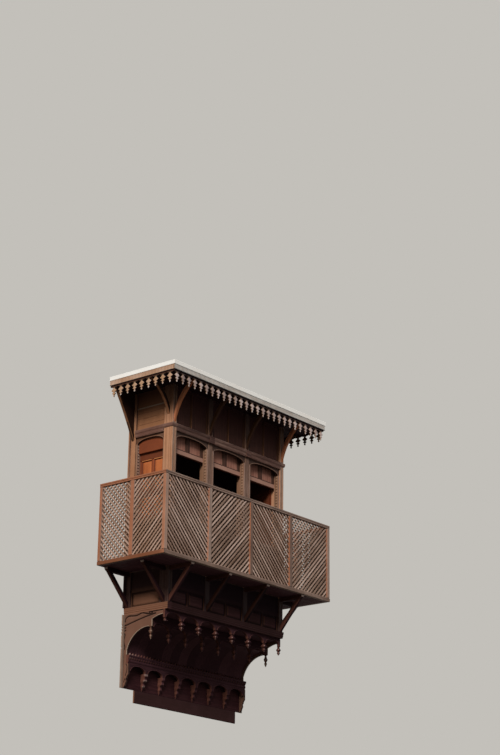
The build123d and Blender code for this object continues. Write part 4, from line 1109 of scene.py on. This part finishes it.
# a drop's middle stands behind the arcade's front; the end drops are smaller, and the left one is broken off
arcadeDrop = {"behind": 0.015, "outerLength": 0.112, "endPlace": 1.0698, "endScale": 0.72, "broken": 0.34,
              "innerLength": 0.150, "innerScale": 0.80, "innerRub": 0.7}
behind, length, end, scale = pick(arcadeDrop, "behind outerLength endPlace endScale")
outerDrops = [(x, 1.0, 1.0) for x in piers(outer["halfWidth"])]
outerDrops += [(end, scale, 1.0), (-end, scale, arcadeDrop["broken"])]
outerParts = [arcadeBoard(**outer)]
for x, scale, cut in outerDrops:
    outerParts.append(carvedDrop(x, outer["front"] + behind, outer["spring"], length, scale, cut))
assemble("outerArcade", outerParts, paintedShadeTeak, "outer_arcade")

length, scale, rub = pick(arcadeDrop, "innerLength innerScale innerRub")
innerParts = [arcadeBoard(**inner)]
for x in piers(inner["halfWidth"]):
    innerParts.append(carvedDrop(x, inner["front"] + behind, inner["spring"], length, scale, rub=rub))
assemble("innerArcade", innerParts, paintedShadeTeak, "inner_arcade")

baseSoffit = {"count": 12, "pitch": 0.17733, "board": 0.174, "front": -0.625, "back": -0.415, "foot": -0.54,
              "top": -0.52}
board, front, back, foot, top = pick(baseSoffit, "board front back foot top")
soffitParts = []
for index in range(baseSoffit["count"]):
    x = index * baseSoffit["pitch"] - tierHalf
    soffitParts.append(bar(x, x + board, front, back, foot, top, 1, 0.002))
assemble("baseSoffit", soffitParts, paintedShadeTeak, "base_soffit")

# Cove: an ellipse's quarter from the inner arcade down to the lower cornice, laid in narrow upright boards
cove = {"boards": 14, "joint": 0.0025, "sink": 0.003, "y": -0.415, "z": -0.99, "reach": 0.39, "rise": 0.358,
        "thickness": 0.020}
coveWidth = 2 * tierHalf / cove["boards"]
coveEdges = np.array([0, cove["joint"], coveWidth - cove["joint"], coveWidth])[:, None]
sinks = (cove["sink"] * np.array([1, 0, 0, 1])[:, None], cove["thickness"])
angle = np.linspace(0, math.pi / 2, 19)
coveParts = []
for index in range(cove["boards"]):
    x = index * coveWidth - tierHalf + coveEdges
    face, rear = (grid(x, cove["y"] + (cove["reach"] - sink) * np.cos(angle),
                       cove["z"] + (cove["rise"] - sink) * np.sin(angle)) for sink in sinks)
    coveParts.append(slab(face, rear, 2))
assemble("cove", coveParts, paintedShadeTeak, "cove_panel")


def nearness(y, z, lines, width):
    # 1 on a drawn line, falling off as exp(-(distance / width) squared)
    near = np.full(y.shape, 9.0)
    for line in lines:
        s = np.linspace(0, len(line) - 1, 24 * (len(line) - 1) + 1)
        lineY, lineZ = (smoothThrough(s, values) for values in np.array(line).T)
        near = np.minimum(near, np.hypot(y[..., None] - lineY, z[..., None] - lineZ).min(axis=-1))
    return np.exp(-(near / width) ** 2)


def roundBead(y, z):
    # a half-round worn arris: a circle carried along a path on the side board's outer face
    path = grid(sideBoard["outer"] + 0.0015, y, z)
    along = np.gradient(path, axis=0)
    along /= np.linalg.norm(along, axis=1, keepdims=True)
    outwardX = np.array([1.0, 0, 0])
    side = np.cross(along, outwardX)[:, None, :]
    c, s = (value[:, None] for value in circle(8))
    return tube(path[:, None, :] + sideBoard["bead"] * (c * outwardX + s * side), None, sideBoard["beadTone"])


# The left side board: front tip, stem, cove and foot; its edges are (y, z) places on the outer face
sideBoard = {"outer": -bay["halfWidth"], "inner": -tierHalf, "top": -0.51, "tip": -0.625, "eave": -0.562,
             "eaveDrop": 0.042, "eaveArch": 0.010, "stemFront": -0.452, "stemFoot": -0.695, "coveFront": -0.408,
             "coveBack": -0.062, "shelf": -0.93, "foot": -1.375, "hair": 0.0005, "backTone": -1.0,
             "cutShadeTone": -3.0, "bead": 0.0035, "beadTone": 2.6, "nicks": (-0.642, -0.672, -0.704, -0.748, -0.905),
             "nickDepth": 0.012, "nickWidth": 0.007, "stripHighlightTone": 1.7}
# grooves: depth, width, tone of the board round them, and how steeply painted shade darkens them
boardCuts = {"cut": 0.009, "width": 0.0092, "base": 0.1, "gain": 1.7, "loss": 0.2}
footCuts = {"cut": 0.005, "width": 0.0070, "base": 0.3, "gain": 1.4, "loss": 0.1}
carvedLines = [
    [(-0.655, -0.516), (-0.56, -0.515), (-0.50, -0.517), (-0.455, -0.514), (-0.41, -0.518), (-0.402, -0.530),
     (-0.420, -0.540), (-0.447, -0.536), (-0.455, -0.526), (-0.435, -0.521)],
    [(-0.425, -0.540), (-0.385, -0.538), (-0.345, -0.528), (-0.305, -0.518), (-0.275, -0.517), (-0.245, -0.528),
     (-0.200, -0.537), (-0.150, -0.536), (-0.105, -0.531), (-0.070, -0.533), (-0.040, -0.545), (-0.026, -0.565),
     (-0.022, -0.592)],
    [(-0.500, -0.545), (-0.36, -0.566), (-0.20, -0.598), (-0.045, -0.634)],
    [(-0.012, -0.735), (-0.024, -0.750), (-0.018, -0.775), (-0.010, -0.80), (-0.008, -0.83), (-0.016, -0.865),
     (-0.026, -0.89), (-0.020, -0.912), (-0.012, -0.93)],
]
for z in (-0.634, -0.664, -0.696):
    carvedLines.append([(-0.034, z), (-0.020, z - 0.003), (-0.006, z - 0.008)])
footLines = [[(-0.009, -0.93), (-0.011, -1.10), (-0.010, -1.25), (-0.010, -1.37)],
             [(-0.058, -1.10), (-0.075, -1.13), (-0.070, -1.19), (-0.052, -1.235)],
             [(-0.030, -1.31), (-0.040, -1.285), (-0.052, -1.27)]]
# the console foot's scalloped front edge: its reach from the wall at places up it
footPlaces = [-1.375, -1.345, -1.30, -1.285, -1.255, -1.215, -1.19, -1.091, -1.089, -0.93]
footReach = [0.024, 0.048, 0.066, 0.060, 0.074, 0.095, 0.095, 0.095, 0.062, 0.062]


def eaveEdge(y):
    # a sloping line with a low arch on it, from the tip back to the stem
    t = np.clip((y - sideBoard["tip"]) / (sideBoard["stemFront"] - sideBoard["tip"]), 0, 1)
    return sideBoard["eave"] - sideBoard["eaveDrop"] * t + sideBoard["eaveArch"] * np.sin(math.pi * t)


def coveEdge(y):
    # the circle's arc through (-0.408, -0.684) and (-0.062, -0.93) with a sag of 73 mm
    return -1.0288 + np.sqrt(np.clip(0.3451 ** 2 - (y + 0.3927) ** 2, 0, None))


def carvedFace(y, z, lines, axis, cut, width, base, gain, loss):
    # grooves cut into the outer face, darkened with painted shade
    carving = nearness(y, z, lines, width)
    tone = base + (sideBoard["cutShadeTone"] - base) * np.clip(carving * gain - loss, 0, 1)
    face = grid(sideBoard["outer"] + cut * carving, y, z)
    return relief(face, 0, sideBoard["inner"], axis, tone, sideBoard["backTone"])


def sideBoardParts():
    # the board's lower edge is a function of y: eave, stem, cove and shelf; a hair separates the steps
    hair, tip, stem, coveFront, coveBack, shelf, foot, top = pick(
        sideBoard, "hair tip stemFront coveFront coveBack shelf foot top")
    y = np.concatenate([np.linspace(tip, stem, 60), [stem + hair],
                        np.linspace(stem + 2 * hair, coveFront - hair, 12), [coveFront],
                        np.linspace(coveFront + hair, coveBack, 120), [coveBack + hair],
                        np.linspace(coveBack + 2 * hair, 0, 22)])[:, None]
    low = np.where(y <= coveBack + hair / 5, coveEdge(y), shelf)
    low = np.where(y < coveFront - hair / 5, sideBoard["stemFoot"], low)
    low = np.where(y <= stem + hair / 5, eaveEdge(y), low)
    z = low + (top - low) * np.linspace(0, 1, 90)
    parts = [carvedFace(np.broadcast_to(y, z.shape), z, carvedLines, 1, **boardCuts)]
    z = np.linspace(shelf, foot, 110)[:, None]
    y = -throughPoints(z, footPlaces, footReach) * (1 - np.linspace(0, 1, 34))
    parts.append(carvedFace(y, np.broadcast_to(z, y.shape), footLines, 2, **footCuts))
    # the strip along the wall, whose edge is nicked beside the three short cuts; its pale tone is painted
    # sunlight
    z = np.linspace(foot, top, 120)
    nick = sum(np.exp(-((z - level) / sideBoard["nickWidth"]) ** 2) for level in sideBoard["nicks"])
    out, inside, front = wallStrip["outer"], wallStrip["inner"], -wallStrip["thickness"]
    out = out + sideBoard["nickDepth"] * np.clip(nick, 0, 1)
    x = grid(out, out + 0.004, inside, inside, out)
    rings = grid(x, np.array([front + 0.004, front, front, 0, 0]), z[:, None])
    parts.append(tube(rings, z, sideBoard["stripHighlightTone"]))
    # worn pale arrises along the small arch, the stem, the cove's curve and under the shelf
    y = np.linspace(tip + 2 * hair, stem - 2 * hair, 24)
    parts.append(roundBead(y, eaveEdge(y) - 3 * hair))
    parts.append(roundBead(stem - hair, np.linspace(-0.604, -0.690, 8)))
    y = np.linspace(coveFront + hair, coveBack - hair, 50)
    parts.append(roundBead(y, coveEdge(y)))
    parts.append(roundBead(coveBack + hair, np.linspace(-0.935, -0.985, 6)))
    middle = (sideBoard["outer"] + sideBoard["inner"]) / 2
    parts.append(carvedDrop(middle, (stem + coveFront) / 2, sideBoard["stemFoot"] + 0.005, 0.155, 0.60,
                            rub=1.15))
    return parts


leftBoard = sideBoardParts()
assemble("leftSideBoard", leftBoard, carvedTeak, "side_board_left")
assemble("rightSideBoard", mirrored(leftBoard), carvedTeak, "side_board_right")

lowerCornice = {"halfWidth": 1.0895, "rib": 0.042, "ribDepth": 0.006, "sunReach": 0.55}
beadRow = {"count": 42, "ends": (-1.05, 1.02), "out": 0.078, "level": -0.980, "radius": 0.0130,
           "second": (0.025, 0.017), "secondSize": 0.85, "paleReach": 0.7}


def ribbedCornice():
    # profile (out, z, 1 where ribbed) carried along the wall; its hollow is cut into upright ribs
    profile = [(0.020, -0.99, 0), (0.106, -0.99, 0), (0.110, -0.994, 0), (0.110, -1.008, 0), (0.106, -1.012, 0)]
    profile += [(out, z, 1) for out, z in hollow((0.106, -1.013), (0.092, -1.045), 0.005)]
    profile += [(0.093, -1.048, 0), (0.0965, -1.054, 0), (0.099, -1.063, 0), (0.0965, -1.072, 0),
                (0.091, -1.078, 0), (0.090, -1.090, 0), (0.020, -1.090, 0)]
    out, z, isRib = np.array(profile).T
    dip = scallops(round(2 * bay["halfWidth"] / lowerCornice["rib"]), lowerCornice["ribDepth"], 0.6)[:, None]
    x = np.linspace(-lowerCornice["halfWidth"], lowerCornice["halfWidth"], len(dip))[:, None]
    # painted sunlight: the ribs at the left end, which the sun reaches, are pale; the rest stays dark, and the
    # hollows of the ribs are darkened with painted shade
    reached = np.clip(1 - (x + bay["halfWidth"]) / lowerCornice["sunReach"], 0, 1)
    tone = -0.4 + isRib * (1.9 * reached - dip / lowerCornice["ribDepth"] * 2.4)
    return tube(grid(x, dip * isRib - out, z), x[:, 0], tone, [0, 0])


def ball(x, y, z, radius, tone):
    # a sphere as rings about an upright axis
    rise = np.linspace(0.25 - math.pi / 2, math.pi / 2 - 0.25, 5)[:, None]
    c, s = circle(8)
    out = radius * np.cos(rise)
    return tube(grid(x + out * c, y + out * s, z + radius * np.sin(rise)), None, tone)


# a row of turned beads lies on the cornice at the foot of the cove, with a smaller one behind each gap;
# painted sunlight makes those at the left end pale, and painted shade darkens the ones behind
corniceParts = [ribbedCornice()]
y, z, radius = -beadRow["out"], beadRow["level"], beadRow["radius"]
shift, rise = beadRow["second"]
for x in np.linspace(*beadRow["ends"], beadRow["count"]):
    pale = 1.6 - 2.4 * min((x - beadRow["ends"][0]) / beadRow["paleReach"], 1)
    corniceParts.append(ball(x, y, z, radius, pale))
    corniceParts.append(ball(x + shift, y + rise, z + rise, radius * beadRow["secondSize"], pale - 0.6))
assemble("lowerCornice", corniceParts, paintedShadeTeak, "lower_cornice")

# consoles: reach from the wall and half width at places up them
consoleShape = {"foot": -1.375, "top": -1.172, "ease": 0.005, "back": 0.02,
                "places": (-1.375, -1.350, -1.31, -1.285, -1.25, -1.225, -1.20, -1.172),
                "reach": (0.024, 0.034, 0.058, 0.050, 0.082, 0.078, 0.094, 0.094),
                "widthPlaces": (-1.375, -1.345, -1.315, -1.295, -1.25, -1.23, -1.172),
                "halves": (0.006, 0.013, 0.021, 0.016, 0.0265, 0.023, 0.027)}


def console(x):
    # the front edge and the half width are functions of height, and the sides are eased
    z = np.linspace(consoleShape["top"], consoleShape["foot"], 56)
    reach = throughPoints(z, consoleShape["places"], consoleShape["reach"])
    half = throughPoints(z, consoleShape["widthPlaces"], consoleShape["halves"])
    ease, back = pick(consoleShape, "ease back")
    across = grid(-half, -half, ease - half, half - ease, half, half)
    out = grid(back, reach - ease, reach, reach, reach - ease, back)
    # painted highlights on the lobes, and painted sunlight on the consoles to the left
    lobe = 0.5 + 0.5 * np.cos((z[:, None] + 1.185) * 2 * math.pi / 0.068)
    pale = np.clip(1.9 - (x + tierHalf) * 1.1, 0.2, 1.9)   # the left ones have been reached by the sun
    tone = np.where([False, True, True, True, True, False], -1.0 + pale * (0.8 + 0.9 * lobe), pale * 0.6 - 1.0)
    return tube(grid(x + across, -out, z[:, None]), None, tone, [-1, -1])


lowerParts = [arcadeBoard(**lower)] + [console(x) for x in piers(tierHalf)]
assemble("lowerArcade", lowerParts, paintedShadeTeak, "lower_arcade")

backBoard = {"levels": (-1.375, -1.246, -1.117, -0.99), "thickness": 0.02, "tone": -1.1}
backBoards = [bar(-tierHalf, tierHalf, -backBoard["thickness"], 0, z0, z1, 0, 0.002, tone=backBoard["tone"])
              for z0, z1 in zip(backBoard["levels"], backBoard["levels"][1:])]
assemble("lowerBackBoard", backBoards, redTeak, "lower_back_board", slotName="reddish_wood")
bearer = {"left": -0.89, "right": 0.99, "thickness": 0.02, "foot": -1.525, "top": -1.375, "ease": 0.004,
          "wave": 0.002}
left, right, thickness, foot, top, ease, wave = pick(bearer, "left right thickness foot top ease wave")
bearerPart = bar(left, right, -thickness, 0, foot, top, 0, ease, wave, 24, backBoard["tone"])
assemble("bearerBoard", [bearerPart], underShadeTeak, "bearer_board")
print("base ready")

# CAD nodes that keep their shape, and the stage

for node in ("wall_beams", "cabin_floor"):
    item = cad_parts[node]
    item.data.materials.clear()
    item.data.materials.append(sawnTeak)


def sheetOf(name, corners, finish):
    mesh = bpy.data.meshes.new(name)
    mesh.from_pydata(corners, [], [(0, 1, 2, 3)])
    mesh.materials.append(finish)
    item = bpy.data.objects.new(name, mesh)
    scene.collection.objects.link(item)


ground = paleGround("studioPaper", studio["backdrop"], studio["bounce"])
far, level = pick(studio, "floorReach floorLevel")
sheetOf("floor", [(-far, -far, level), (far, -far, level), (far, far, level), (-far, far, level)], ground)
paintedRoomShade, darkTree = freshMaterial("paintedRoomShade")
shadeSkin = add(darkTree, "BsdfPrincipled", {"Base Color": linear(studio["paintedRoomShade"]), "Roughness": 1.0,
                                             "Specular IOR Level": 0.0})
# painted shade: a dark one-sided card stands for the shaded room behind the windows; from the room's side the
# bay stays open
oneSided = add(darkTree, "MixShader", {}, {0: add(darkTree, "NewGeometry").outputs["Backfacing"], 1: shadeSkin,
                                           2: add(darkTree, "BsdfTransparent")})
add(darkTree, "OutputMaterial", {}, {"Surface": oneSided})
card = {"halfWidth": 1.05, "y": 0.012, "foot": -0.14, "top": 2.26}
half, y, foot, top = pick(card, "halfWidth y foot top")
sheetOf("roomShadeCard", [(-half, y, foot), (half, y, foot), (half, y, top), (-half, y, top)], paintedRoomShade)
